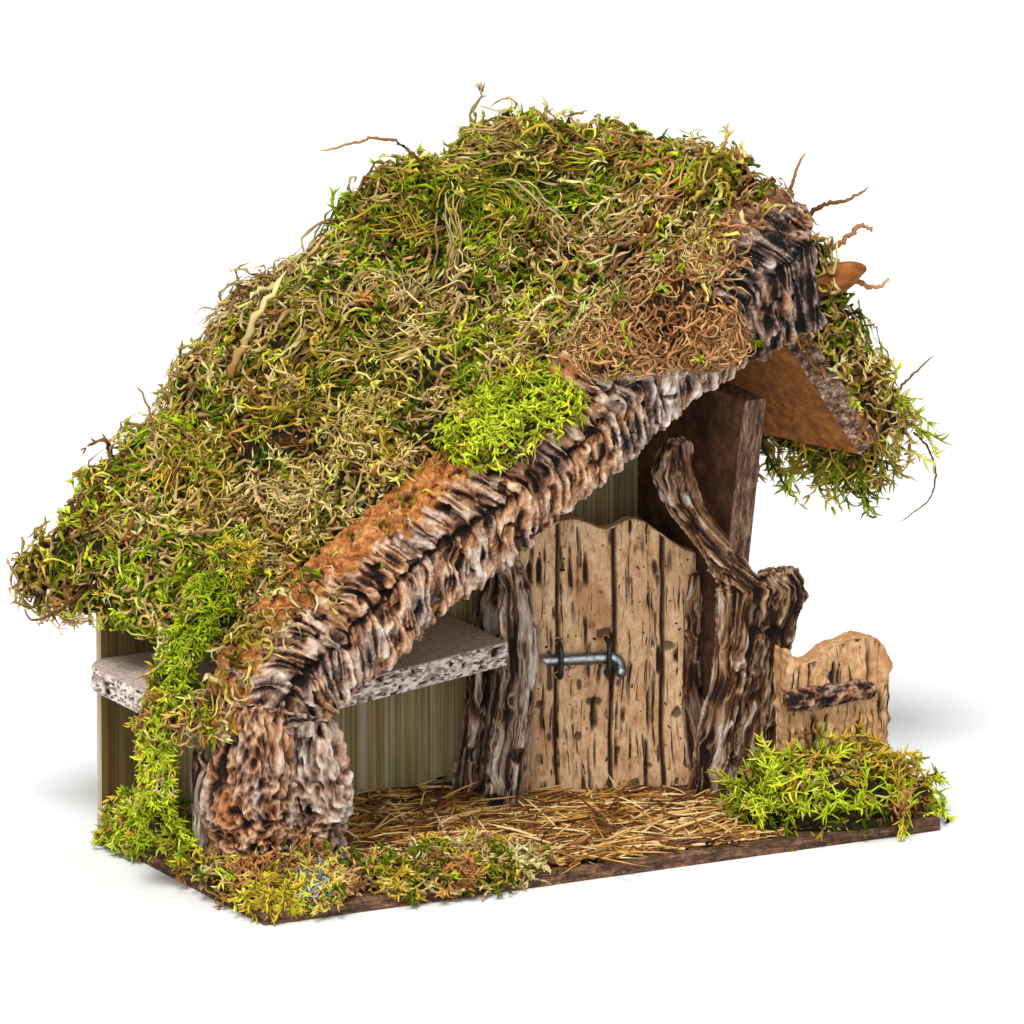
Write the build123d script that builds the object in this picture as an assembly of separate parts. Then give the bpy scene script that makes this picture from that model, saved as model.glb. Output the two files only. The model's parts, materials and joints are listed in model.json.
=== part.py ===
from build123d import *
from math import atan, cos, pi, radians, sin, tan
import os

# A nativity stable built of boards, cork bark and driftwood. Millimetres, +X right, +Y back, +Z up.
# The origin is the middle of the base board's underside.

# Base board and back wall
BASE_WIDTH = 300.0
BASE_DEPTH = 145.0
BASE_THICKNESS = 5.0
BACK_WALL_THICKNESS = 4.0

# Right wall, a chipboard panel whose front edge rakes forward towards the top
RIGHT_WALL_THICKNESS = 10.0
RIGHT_WALL_SETBACK = 50.0
RIGHT_WALL_HEIGHT = 165.0
RIGHT_WALL_FOOT_DEPTH = 55.5
RIGHT_WALL_TOP_DEPTH = 87.5

# Loft board, whose front edge runs askew and whose left end is rounded
LOFT_THICKNESS = 10.0
LOFT_CLEAR_HEIGHT = 60.0
LOFT_LENGTH = 163.0
LOFT_OVERHANG = 10.0
LOFT_RIGHT_DEPTH = 53.5
LOFT_FRONT_SKEW = 18.0
LOFT_END_RADIUS = 16.0

# Roof boards, two pitches that meet at a ridge set askew to the base
ROOF_THICKNESS = 10.0
RIDGE_HEIGHT = 245.0
RIDGE_SETBACK = 67.0
RIDGE_SKEW = 20.0
LEFT_PITCH = 35.0
RIGHT_PITCH = 56.9
LEFT_SLOPE_LENGTH = 238.0
RIGHT_SLOPE_LENGTH = 115.0
ROOF_FRONT_SETBACK = 50.5
ROOF_BACK_OVERHANG = 12.5

# Panel pins
PIN_DIAMETER = 1.4
PIN_LENGTH = 16.0
PIN_HEAD_DIAMETER = 3.0
PIN_HEAD_THICKNESS = 0.8
PIN_EDGE_DISTANCE = 22.0
WALL_PIN_COUNT = 3
LOFT_PIN_COUNT = 4
RIDGE_PIN_COUNT = 3

# Cork bark arch, which rises out of the trunk, turns and follows the left pitch
ARCH_WIDTH = 49.0
ARCH_THICKNESS = 24.0
ARCH_FOOT_INSET = 22.0
ARCH_BEND_RADIUS = 38.0
ARCH_LOWER_LENGTH = 185.0
ARCH_UPPER_LENGTH = 68.0
ARCH_RIDGE_LENGTH = 42.0
ARCH_RIDGE_FLATTENING = 24.0
ARCH_RIDGE_WIDTH = 55.0
ARCH_RIDGE_THICKNESS = 28.0
BARK_RIDGE_PITCH = 8.0
BARK_RIDGE_DEPTH = 1.3
BARK_WANDER_LENGTH = 76.0
BARK_WANDER_SHARE = 0.6
BARK_WANDER_RATIO = 2.3

# Cork trunk, in two lobes and a thin stem
TRUNK_HEIGHT = 59.0
TRUNK_LOBE_WIDTH = 33.0
TRUNK_SIDE_WIDTH = 21.0
TRUNK_DEPTH = 34.0
TRUNK_LEAN = 9.0
STEM_DIAMETER = 9.0
STEM_HEIGHT = 52.0

# Plank door of cork, set askew between the posts and the right wall
DOOR_WIDTH = 73.0
DOOR_HEIGHT = 111.0
DOOR_THICKNESS = 7.0
DOOR_ANGLE = 17.0
DOOR_INSET = 2.6
DOOR_SHOULDER_DROP = 15.0
DOOR_DIP = 3.5
DOOR_CORNER_RADIUS = 5.0
DOOR_GROOVE_WIDTH = 1.6
DOOR_GROOVE_DEPTH = 1.8
DOOR_PLANK_COUNT = 4

# Bolt, a steel rod with a bent end, and its two wire staples
BOLT_DIAMETER = 5.0
BOLT_END_LENGTH = 4.5
BOLT_BEND_RADIUS = 4.0
BOLT_GRIP_LENGTH = 2.5
BOLT_HEIGHT = 55.5
BOLT_TIP_INSET = 9.0
BOLT_TIP_CUT = 32.0
BOLT_GRIP_DROP = 50.0
BOLT_PLAY = 0.4
STAPLE_WIRE = 2.0
STAPLE_TIP_DISTANCE = 8.0
STAPLE_SPACING = 19.5
STAPLE_HALF_HEIGHT = 7.0
STAPLE_LEG_DEPTH = 5.0
STAPLE_CORNER = 4.0

# Driftwood posts at the left of the door
POST_HEIGHT = 104.0
POST_DIAMETER = 15.0
REAR_POST_HEIGHT = 96.0
REAR_POST_DIAMETER = 13.0
REAR_POST_SPACING = 23.0
STRAND_DIAMETER = 6.0
STRAND_LENGTH = 42.0

# Gnarled root at the right of the door
ROOT_HEIGHT = 147.0
ROOT_WIDTH = 17.0
ROOT_DEPTH = 15.0
ROOT_OFFSET = 1.5
ROOT_TOP_LEAN = 24.0
ROOT_CROOK = 9.0
ROOT_BEDDING = 1.0
ROOT_STUB_HEIGHT = 92.0
ROOT_STUB_WIDTH = 17.0
ROOT_STUB_OFFSET = 16.0
ROOT_STRAND_WIDTH = 9.0
ROOT_STRAND_INSET = 5.0
ROOT_STRAND_HEIGHT = 88.0

# Low garden wall of cork with a bark rail and a stone chip
GARDEN_WALL_LENGTH = 46.0
GARDEN_WALL_HEIGHT = 66.0
GARDEN_WALL_THICKNESS = 11.0
GARDEN_WALL_SETBACK = 42.0
GARDEN_HUMP_DROP = 7.0
RAIL_HEIGHT = 10.0
RAIL_THICKNESS = 5.0
RAIL_LEVEL = 44.0
CHIP_LENGTH = 21.0
CHIP_DEPTH = 12.0
CHIP_HEIGHT = 9.0
CHIP_LEAN = 1.0

# Bark scrap that leans on the back wall
SCRAP_LENGTH = 24.0
SCRAP_HEIGHT = 11.0
SCRAP_THICKNESS = 6.0

# Moss and straw
ROOF_MOSS_BACK = 50.0
ROOF_MOSS_FRONT = 13.0
ROOF_MOSS_RIDGE = 27.0
MOSS_EAVE_SHARE = 0.5
ROOF_MOSS_OVERHANG = 7.0
ROOF_MOSS_LIP = 14.0
ROOF_MOSS_LIP_REACH = 9.0
RIGHT_MOSS_THICKNESS = 36.0
MOSS_LUMP_HEIGHT = 4.0
MOSS_LUMP_LENGTH = 58.0
MOSS_TUFT_LENGTH = 29.0
MOSS_GRID = 13.0
DRAPE_THICKNESS = 6.0
DRAPE_START = 51.0
SHORT_DRAPE_LENGTH = 46.0
LONG_DRAPE_LENGTH = 62.0
DRAPE_SPACING = 15.0
EAVE_MOSS_DROP = 42.0
EAVE_MOSS_REACH = 42.0
EAVE_MOSS_LENGTH = 70.0
HANGING_MOSS_WIDTH = 14.0
BASE_MOSS_HEIGHT = 15.0
BASE_MOSS_OVERHANG = 5.0
LEFT_CLUMP_WIDTH = 30.0
LEFT_CLUMP_DEPTH = 42.0
LEFT_CLUMP_GAP = 1.0
CORNER_CLUMP_WIDTH = 58.0
CORNER_CLUMP_DEPTH = 92.0
FRONT_CLUMP_WIDTH = 88.0
FRONT_CLUMP_DEPTH = 40.0
RIGHT_CLUMP_WIDTH = 84.0
RIGHT_CLUMP_HEIGHT = 26.0
STRAW_THICKNESS = 1.6
WISP_HEIGHT = 2.3
WISP_LENGTH = 30.0
WISP_WIDTH = 10.0
WISP_SPACING = 21.0
SOFT_GAP = 0.1

# Levels and planes that the pieces share
BASE_TOP = BASE_THICKNESS
LEFT_EDGE = -BASE_WIDTH / 2
RIGHT_EDGE = BASE_WIDTH / 2
FRONT_EDGE = -BASE_DEPTH / 2
BACK_EDGE = BASE_DEPTH / 2
WALL_FACE = BACK_EDGE - BACK_WALL_THICKNESS
SIDE_OUTER = RIGHT_EDGE - RIGHT_WALL_SETBACK
SIDE_INNER = SIDE_OUTER - RIGHT_WALL_THICKNESS
LOFT_LEFT = LEFT_EDGE - LOFT_OVERHANG
LOFT_RIGHT = LOFT_LEFT + LOFT_LENGTH
LOFT_CORNER = WALL_FACE - LOFT_RIGHT_DEPTH
LOFT_UNDERSIDE = BASE_TOP + LOFT_CLEAR_HEIGHT
ROOF_FRONT = FRONT_EDGE + ROOF_FRONT_SETBACK
ROOF_BACK = BACK_EDGE + ROOF_BACK_OVERHANG
RIDGE_X = RIGHT_EDGE - RIDGE_SETBACK
LEFT_FALL = tan(radians(LEFT_PITCH)) * cos(radians(RIDGE_SKEW))
RIGHT_FALL = tan(radians(RIGHT_PITCH)) * cos(radians(RIDGE_SKEW))
FAR = 4 * (BASE_WIDTH + BASE_DEPTH + RIDGE_HEIGHT)


def polygon(points):
    """A closed wire through points."""
    return Wire.make_polygon([Vector(*point) for point in points], close=True)


def scribe(piece, *neighbours):
    """The piece cut to the faces of its neighbours, as one solid."""
    for neighbour in neighbours:
        piece = piece - neighbour
    return max(piece.solids(), key=lambda solid: solid.volume)


def ring(x, y, z, half_width, half_depth, ripple, lobes, phase, sides):
    """A level, lobed outline of a grown limb or a mound."""
    points = []
    for index in range(sides):
        turn = 2 * pi * index / sides
        swell = 1 + ripple * cos(lobes * turn + phase)
        points.append((x + half_width * swell * cos(turn), y + half_depth * swell * sin(turn), z))
    return polygon(points)


def limb(stations, ripple=0.12, lobes=3, twist=0.02, sides=10):
    """A gnarled limb through level sections, each given as z, x, y, half width and half depth."""
    rings = []
    for z, x, y, half_width, half_depth in stations:
        rings.append(ring(x, y, z, half_width, half_depth, ripple, lobes, twist * z, sides))
    return Solid.make_loft(rings, ruled=True)


def mound(x, y, half_width, half_depth, height, lobes, phase, sides=14):
    """A crowned clump on the base, widest a little above its foot."""
    rise = [(0.0, 0.94), (0.35, 1.0), (0.8, 0.72), (1.0, 0.3)]
    rings = []
    for share, spread in rise:
        z = BASE_TOP + share * height
        rings.append(ring(x, y, z, spread * half_width, spread * half_depth, 0.09, lobes, phase, sides))
    return Solid.make_loft(rings, ruled=True)


def side_front(z):
    """Y of the right wall's raked front edge at a height."""
    foot = WALL_FACE - RIGHT_WALL_FOOT_DEPTH
    top = WALL_FACE - RIGHT_WALL_TOP_DEPTH
    return foot + (top - foot) * (z - BASE_TOP) / RIGHT_WALL_HEIGHT


def ridge_at(y):
    """X of the ridge at a depth."""
    return RIDGE_X - tan(radians(RIDGE_SKEW)) * (y - ROOF_FRONT)


def left_top(x, y):
    """Z of the left pitch's upper face."""
    return RIDGE_HEIGHT - LEFT_FALL * (ridge_at(y) - x)


def right_top(x, y):
    """Z of the right pitch's upper face."""
    return RIDGE_HEIGHT - RIGHT_FALL * (x - ridge_at(y))


def pitch_plane(side, pitch, sunk=0.0):
    """The plane of a pitch, x down the slope, sunk below the upper face; side is -1 left or 1 right."""
    skew = radians(RIDGE_SKEW)
    tilt = radians(pitch)
    across = Vector(side * cos(skew), side * sin(skew), 0)
    down = across * cos(tilt) - Vector(0, 0, sin(tilt))
    normal = across * sin(tilt) + Vector(0, 0, cos(tilt))
    return Plane(Vector(RIDGE_X, ROOF_FRONT, RIDGE_HEIGHT) - normal * sunk, x_dir=down, z_dir=normal)


LEFT_UPPER = pitch_plane(-1, LEFT_PITCH)
RIGHT_UPPER = pitch_plane(1, RIGHT_PITCH)
LEFT_UNDER = pitch_plane(-1, LEFT_PITCH, ROOF_THICKNESS)
RIGHT_UNDER = pitch_plane(1, RIGHT_PITCH, ROOF_THICKNESS)


def below(piece, plane):
    """The part of a piece on the low side of a plane."""
    return piece.split(plane, keep=Keep.BOTTOM)


def box_between(low, high):
    """A box from its lowest to its highest corner."""
    size = [high[axis] - low[axis] for axis in range(3)]
    return Solid.make_box(*size, Plane(origin=low))


def base_board():
    return box_between((LEFT_EDGE, FRONT_EDGE, 0), (RIGHT_EDGE, BACK_EDGE, BASE_TOP))


def back_wall():
    blank = box_between((LEFT_EDGE, WALL_FACE, BASE_TOP), (SIDE_OUTER, BACK_EDGE, RIDGE_HEIGHT))
    return below(below(blank, LEFT_UNDER), RIGHT_UNDER)


def right_wall():
    top = BASE_TOP + RIGHT_WALL_HEIGHT
    outline = [
        (SIDE_INNER, WALL_FACE, BASE_TOP),
        (SIDE_INNER, side_front(BASE_TOP), BASE_TOP),
        (SIDE_INNER, side_front(top), top),
        (SIDE_INNER, WALL_FACE, top),
    ]
    panel = Solid.extrude(Face(polygon(outline)), Vector(RIGHT_WALL_THICKNESS, 0, 0))
    return below(below(panel, LEFT_UNDER), RIGHT_UNDER)


def loft_board():
    drop = tan(radians(LOFT_FRONT_SKEW)) * LOFT_LENGTH
    outline = [
        (LOFT_RIGHT, LOFT_CORNER, LOFT_UNDERSIDE),
        (LOFT_RIGHT, WALL_FACE, LOFT_UNDERSIDE),
        (LOFT_LEFT, WALL_FACE, LOFT_UNDERSIDE),
        (LOFT_LEFT, LOFT_CORNER - drop, LOFT_UNDERSIDE),
    ]
    board = Solid.extrude(Face(polygon(outline)), Vector(0, 0, LOFT_THICKNESS))
    board = below(board, Plane((0, ROOF_FRONT, 0), z_dir=(0, -1, 0)))
    left_back = board.edges().filter_by(Axis.Z).sort_by(Axis.X)[:2].sort_by(Axis.Y)[-1]
    return below(board.fillet(LOFT_END_RADIUS, [left_back]), LEFT_UNDER)


def pitch_board(upper, length):
    """A board under a pitch's upper face, square at the eave and cut plumb at front and back."""
    low = (-length, -FAR, -ROOF_THICKNESS)
    slab = upper.location * box_between(low, (length, FAR, 0))
    return slab & box_between((-FAR, ROOF_FRONT, -FAR), (FAR, ROOF_BACK, FAR))


def roof_board_left():
    return scribe(below(pitch_board(LEFT_UPPER, LEFT_SLOPE_LENGTH), RIGHT_UNDER))


def roof_board_right():
    return scribe(below(pitch_board(RIGHT_UPPER, RIGHT_SLOPE_LENGTH), LEFT_UPPER))


def panel_pin(point, along):
    """A pin whose head lies flush at a point, with its shank along a direction."""
    seat = Plane(point, z_dir=along)
    shank = Solid.make_cylinder(PIN_DIAMETER / 2, PIN_LENGTH, seat)
    head = Solid.make_cylinder(PIN_HEAD_DIAMETER / 2, PIN_HEAD_THICKNESS, seat)
    return shank.fuse(head).solids()[0]


def spread(count, low, high):
    """Places spread evenly from low to high."""
    return [low + (high - low) * index / (count - 1) for index in range(count)]


def back_wall_pins():
    pins = []
    side_middle = SIDE_INNER + RIGHT_WALL_THICKNESS / 2
    roof_underside = right_top(SIDE_OUTER, BACK_EDGE) - ROOF_THICKNESS / cos(radians(RIGHT_PITCH))
    side_top = min(BASE_TOP + RIGHT_WALL_HEIGHT, roof_underside)
    for z in spread(WALL_PIN_COUNT, BASE_TOP + PIN_EDGE_DISTANCE, side_top - PIN_EDGE_DISTANCE):
        pins.append(panel_pin((side_middle, BACK_EDGE, z), (0, -1, 0)))
    loft_middle = LOFT_UNDERSIDE + LOFT_THICKNESS / 2
    for x in spread(LOFT_PIN_COUNT, LEFT_EDGE + PIN_EDGE_DISTANCE, LOFT_RIGHT - PIN_EDGE_DISTANCE):
        pins.append(panel_pin((x, BACK_EDGE, loft_middle), (0, -1, 0)))
    return pins


def ridge_pins():
    """Pins through the right pitch, square to it, into the bevelled end of the left pitch."""
    pins = []
    reach = ROOF_THICKNESS / sin(radians(LEFT_PITCH + RIGHT_PITCH)) / 2
    for y in spread(RIDGE_PIN_COUNT, ROOF_FRONT + PIN_EDGE_DISTANCE, ROOF_BACK - PIN_EDGE_DISTANCE):
        along = (y - ROOF_FRONT) / cos(radians(RIDGE_SKEW))
        pins.append(panel_pin(RIGHT_UPPER.from_local_coords((reach, along, 0)), -RIGHT_UPPER.z_dir))
    return pins


# The arch's line in the plane of the roof's front edge: plumb, then round a bend, then up the pitch
ARCH_RISE = atan(LEFT_FALL)
ARCH_FOOT_X = LEFT_EDGE + ARCH_FOOT_INSET
ARCH_FOOT_Z = BASE_TOP + TRUNK_HEIGHT
ARCH_TURN = pi / 2 - ARCH_RISE
ARCH_STRAIGHT = ARCH_LOWER_LENGTH + ARCH_UPPER_LENGTH


def arch_station(distance):
    """X, Z and heading of the arch's middle line at a distance from its foot."""
    bend = min(distance / ARCH_BEND_RADIUS, ARCH_TURN)
    x = ARCH_FOOT_X + ARCH_BEND_RADIUS * (1 - cos(bend))
    z = ARCH_FOOT_Z + ARCH_BEND_RADIUS * sin(bend)
    run = min(distance, ARCH_STRAIGHT) - ARCH_BEND_RADIUS * ARCH_TURN
    if run > 0:
        x += run * cos(ARCH_RISE)
        z += run * sin(ARCH_RISE)
    over = distance - ARCH_STRAIGHT
    if over > 0:
        easing = radians(ARCH_RIDGE_FLATTENING) * over / ARCH_RIDGE_LENGTH
        middle = ARCH_RISE - easing / 2
        return x + over * cos(middle), z + over * sin(middle), ARCH_RISE - easing
    return x, z, pi / 2 - bend


def bark_section(distance, width, thickness, ridge):
    """A bark slab's section: flat at the back, crowned and ridged at the front."""
    x, z, heading = arch_station(distance)
    turn = 2 * pi * distance / BARK_WANDER_LENGTH
    wander = sin(turn) + BARK_WANDER_SHARE * sin(BARK_WANDER_RATIO * turn)
    crown = thickness + BARK_RIDGE_DEPTH * ridge
    profile = [
        (-0.50, 0.0),
        (-0.52 - 0.012 * wander, 0.45),
        (-0.47, 0.80),
        (-0.30, 0.97),
        (-0.05, 1.0 + 0.03 * wander),
        (0.20, 0.96),
        (0.40, 0.80),
        (0.50 + 0.012 * wander, 0.42),
        (0.50, 0.0),
    ]
    points = []
    for across, forward in profile:
        offset = across * (width + BARK_RIDGE_DEPTH * ridge)
        points.append((x - offset * sin(heading), ROOF_FRONT - forward * crown, z + offset * cos(heading)))
    return polygon(points)


def bark_slab(start, length, width, thickness):
    """A length of the arch's bark, with cross ridges along it."""
    steps = 2 * round(length / BARK_RIDGE_PITCH)
    sections = []
    for step in range(steps + 1):
        ridge = 1 if step % 2 else -1
        sections.append(bark_section(start + length * step / steps, width, thickness, ridge))
    return Solid.make_loft(sections, ruled=True)


def cork_arch():
    """The arch in three butted lengths of bark."""
    lower = bark_slab(0, ARCH_LOWER_LENGTH, ARCH_WIDTH, ARCH_THICKNESS)
    upper = bark_slab(ARCH_LOWER_LENGTH, ARCH_UPPER_LENGTH, ARCH_WIDTH, ARCH_THICKNESS)
    ridge_end = bark_slab(ARCH_STRAIGHT, ARCH_RIDGE_LENGTH, ARCH_RIDGE_WIDTH, ARCH_RIDGE_THICKNESS)
    return lower, scribe(upper, lower), scribe(ridge_end, upper)


def cork_trunk():
    """The trunk's two lobes and its thin stem, which stand on the base under the arch's foot."""
    top = ARCH_FOOT_Z
    rise = TRUNK_HEIGHT / 4
    left = ARCH_FOOT_X - TRUNK_SIDE_WIDTH / 2
    middle = ROOF_FRONT - ARCH_THICKNESS / 2
    half = TRUNK_LOBE_WIDTH / 2
    deep = TRUNK_DEPTH / 2
    lobe = limb([
        (BASE_TOP, left + TRUNK_LEAN, middle + TRUNK_LEAN, half * 1.12, deep * 1.15),
        (BASE_TOP + rise, left + 0.7 * TRUNK_LEAN, middle + 0.7 * TRUNK_LEAN, half * 0.96, deep),
        (BASE_TOP + 2 * rise, left + 0.4 * TRUNK_LEAN, middle + 0.4 * TRUNK_LEAN, half * 1.05, deep * 1.04),
        (BASE_TOP + 3 * rise, left + 0.1 * TRUNK_LEAN, middle + 0.1 * TRUNK_LEAN, half * 0.97, deep * 0.9),
        (top, left, middle, half * 0.95, deep * 0.72),
    ], ripple=0.1, lobes=4, twist=0.03, sides=14)
    right = ARCH_FOOT_X + TRUNK_LOBE_WIDTH / 2
    half = TRUNK_SIDE_WIDTH / 2
    side = limb([
        (BASE_TOP, right + TRUNK_LEAN, middle + TRUNK_LEAN, half * 1.2, deep * 0.95),
        (BASE_TOP + rise, right + 0.8 * TRUNK_LEAN, middle + TRUNK_LEAN, half * 0.92, deep * 0.76),
        (BASE_TOP + 2 * rise, right + 0.9 * TRUNK_LEAN, middle + 0.8 * TRUNK_LEAN, half * 1.14, deep * 0.86),
        (BASE_TOP + 3 * rise, right + 0.7 * TRUNK_LEAN, middle + 0.5 * TRUNK_LEAN, half * 1.0, deep * 0.72),
        (top, right, middle + 0.2 * TRUNK_LEAN, half * 1.15, deep * 0.6),
    ], ripple=0.13, lobes=5, twist=0.05, sides=12)
    stem_x = left - TRUNK_LOBE_WIDTH / 2 + STEM_DIAMETER / 2
    stem_y = middle + TRUNK_DEPTH / 2
    half = STEM_DIAMETER / 2
    stem = limb([
        (BASE_TOP, stem_x + TRUNK_LEAN, stem_y + TRUNK_LEAN, half * 1.3, half * 1.2),
        (BASE_TOP + STEM_HEIGHT / 2, stem_x + 0.5 * TRUNK_LEAN, stem_y + 0.5 * TRUNK_LEAN, half, half),
        (BASE_TOP + STEM_HEIGHT, stem_x, stem_y, half * 0.7, half * 0.7),
    ], ripple=0.1, lobes=2, twist=0.04, sides=8)
    return lobe, scribe(side, lobe), scribe(stem, lobe)


# The door's frame: x along the door, y up, z out of its front face
DOOR_TURN = radians(DOOR_ANGLE)
DOOR_ALONG = Vector(cos(DOOR_TURN), -sin(DOOR_TURN), 0)
DOOR_OUT = Vector(-sin(DOOR_TURN), -cos(DOOR_TURN), 0)
DOOR_RIGHT = Vector(SIDE_INNER - DOOR_THICKNESS * sin(DOOR_TURN), side_front(BASE_TOP) + DOOR_INSET, BASE_TOP)
DOOR_FRAME = Plane(DOOR_RIGHT - DOOR_ALONG * DOOR_WIDTH, x_dir=DOOR_ALONG, z_dir=DOOR_OUT)
BOLT_AXIS = BOLT_DIAMETER / 2 + BOLT_PLAY
STAPLE_TIPS = [STAPLE_TIP_DISTANCE, STAPLE_TIP_DISTANCE + STAPLE_SPACING]
BOLT_LENGTH = STAPLE_TIPS[-1] + BOLT_END_LENGTH


def door_outline():
    """The door's front: round lower corners and a top with two humps and a dip."""
    shoulder = DOOR_HEIGHT - DOOR_SHOULDER_DROP
    crest = DOOR_WIDTH / DOOR_PLANK_COUNT
    radius = DOOR_CORNER_RADIUS
    top = Spline(
        (DOOR_WIDTH, shoulder),
        (DOOR_WIDTH / 2 + crest, DOOR_HEIGHT - DOOR_DIP),
        (DOOR_WIDTH / 2 + crest / 2, DOOR_HEIGHT),
        (DOOR_WIDTH / 2, DOOR_HEIGHT - DOOR_DIP),
        (DOOR_WIDTH / 2 - crest / 2, DOOR_HEIGHT),
        (crest / 2, DOOR_HEIGHT - DOOR_DIP),
        (0, shoulder),
    )
    foot = Polyline((0, shoulder), (0, radius))
    left = RadiusArc((0, radius), (radius, 0), -radius)
    bottom = Line((radius, 0), (DOOR_WIDTH - radius, 0))
    right = RadiusArc((DOOR_WIDTH - radius, 0), (DOOR_WIDTH, radius), -radius)
    side = Line((DOOR_WIDTH, radius), (DOOR_WIDTH, shoulder))
    return Face(Wire([*foot.edges(), left.edge(), bottom.edge(), right.edge(), side.edge(), top.edge()]))


def staple_path(tip):
    """The staple's wire: two legs into the door, joined round the front of the rod."""
    x = BOLT_TIP_INSET + tip
    bow = BOLT_AXIS + BOLT_DIAMETER / 2 + BOLT_PLAY + STAPLE_WIRE / 2
    reach = STAPLE_HALF_HEIGHT
    points = [
        (x, BOLT_HEIGHT - reach, -STAPLE_LEG_DEPTH),
        (x, BOLT_HEIGHT - reach, bow),
        (x, BOLT_HEIGHT + reach, bow),
        (x, BOLT_HEIGHT + reach, -STAPLE_LEG_DEPTH),
    ]
    return FilletPolyline(*[DOOR_FRAME.from_local_coords(point) for point in points], radius=STAPLE_CORNER)


def staple(tip):
    path = staple_path(tip)
    start = Plane(path @ 0, z_dir=path % 0)
    return sweep(start * Circle(STAPLE_WIRE / 2), path=path).solids()[0]


def bolt():
    """A straight rod with an oblique tip, bent down and outward at the other end into a short round grip."""
    end = BOLT_TIP_INSET + BOLT_LENGTH
    reach = BOLT_BEND_RADIUS + BOLT_GRIP_LENGTH
    drop = reach * sin(radians(BOLT_GRIP_DROP))
    out = reach * cos(radians(BOLT_GRIP_DROP))
    points = [
        (BOLT_TIP_INSET, BOLT_HEIGHT, BOLT_AXIS),
        (end, BOLT_HEIGHT, BOLT_AXIS),
        (end, BOLT_HEIGHT - drop, BOLT_AXIS + out),
    ]
    path = FilletPolyline(*[DOOR_FRAME.from_local_coords(point) for point in points], radius=BOLT_BEND_RADIUS)
    start = Plane(path @ 0, z_dir=path % 0)
    rod = sweep(start * Circle(BOLT_DIAMETER / 2), path=path).solids()[0]
    dome = Plane(path @ 1, z_dir=path % 1)
    rod = rod.fuse(Solid.make_sphere(BOLT_DIAMETER / 2, dome, angle1=0, angle2=90, angle3=360)).solids()[0]
    cut = radians(BOLT_TIP_CUT)
    tip = (BOLT_TIP_INSET + BOLT_DIAMETER / 2 * tan(cut), BOLT_HEIGHT, BOLT_AXIS)
    slant = Plane(DOOR_FRAME.from_local_coords(tip), z_dir=DOOR_ALONG * cos(cut) + Vector(0, 0, sin(cut)))
    return rod.split(slant, keep=Keep.TOP)


def door():
    slab = Solid.extrude(DOOR_FRAME * door_outline(), DOOR_OUT * -DOOR_THICKNESS)
    for index in range(1, DOOR_PLANK_COUNT):
        x = DOOR_WIDTH * index / DOOR_PLANK_COUNT
        half = DOOR_GROOVE_WIDTH / 2
        groove = [(x - half, 0, 0), (x, 0, -DOOR_GROOVE_DEPTH), (x + half, 0, 0)]
        profile = Face(polygon([DOOR_FRAME.from_local_coords(point) for point in groove]))
        slab = slab - Solid.extrude(profile, Vector(0, 0, DOOR_HEIGHT))
    for tip in STAPLE_TIPS:
        slab = slab - staple(tip)
    return slab.solids()[0]


def posts():
    """The driftwood at the left of the door: a front post, a rear post and a short broken strand."""
    half = POST_DIAMETER / 2
    x = LOFT_RIGHT + half
    y = LOFT_CORNER + half
    foot = x - half * 0.9
    front = limb([
        (BASE_TOP, foot, y, half * 1.2, half),
        (BASE_TOP + 0.24 * POST_HEIGHT, foot + half * 0.4, y, half * 1.05, half * 0.95),
        (BASE_TOP + 0.46 * POST_HEIGHT, x, y, half * 0.98, half * 0.92),
        (BASE_TOP + 0.68 * POST_HEIGHT, x + half * 0.1, y, half * 0.98, half * 0.9),
        (BASE_TOP + 0.86 * POST_HEIGHT, x, y, half * 0.8, half * 0.75),
        (BASE_TOP + POST_HEIGHT, x - half * 0.5, y, half * 0.35, half * 0.35),
    ], ripple=0.13, lobes=3, twist=0.03)
    half = REAR_POST_DIAMETER / 2
    x = LOFT_RIGHT + half
    y = y + REAR_POST_SPACING
    rear = limb([
        (BASE_TOP, x - half * 0.8, y + half, half * 1.1, half),
        (BASE_TOP + 0.35 * REAR_POST_HEIGHT, x - half * 0.4, y + half * 0.5, half * 0.9, half * 0.9),
        (BASE_TOP + 0.7 * REAR_POST_HEIGHT, x, y, half, half * 0.9),
        (BASE_TOP + REAR_POST_HEIGHT, x + half * 0.4, y, half * 0.55, half * 0.6),
    ], ripple=0.14, lobes=3, twist=0.04)
    half = STRAND_DIAMETER / 2
    x = LOFT_RIGHT - half * 2
    y = LOFT_CORNER + POST_DIAMETER
    strand = limb([
        (LOFT_UNDERSIDE - STRAND_LENGTH, x - half, y, half * 0.6, half * 0.6),
        (LOFT_UNDERSIDE - STRAND_LENGTH / 2, x - half * 0.3, y, half, half * 0.9),
        (LOFT_UNDERSIDE, x, y, half * 0.9, half),
    ], ripple=0.1, lobes=2, twist=0.05, sides=8)
    return front, rear, strand


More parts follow.
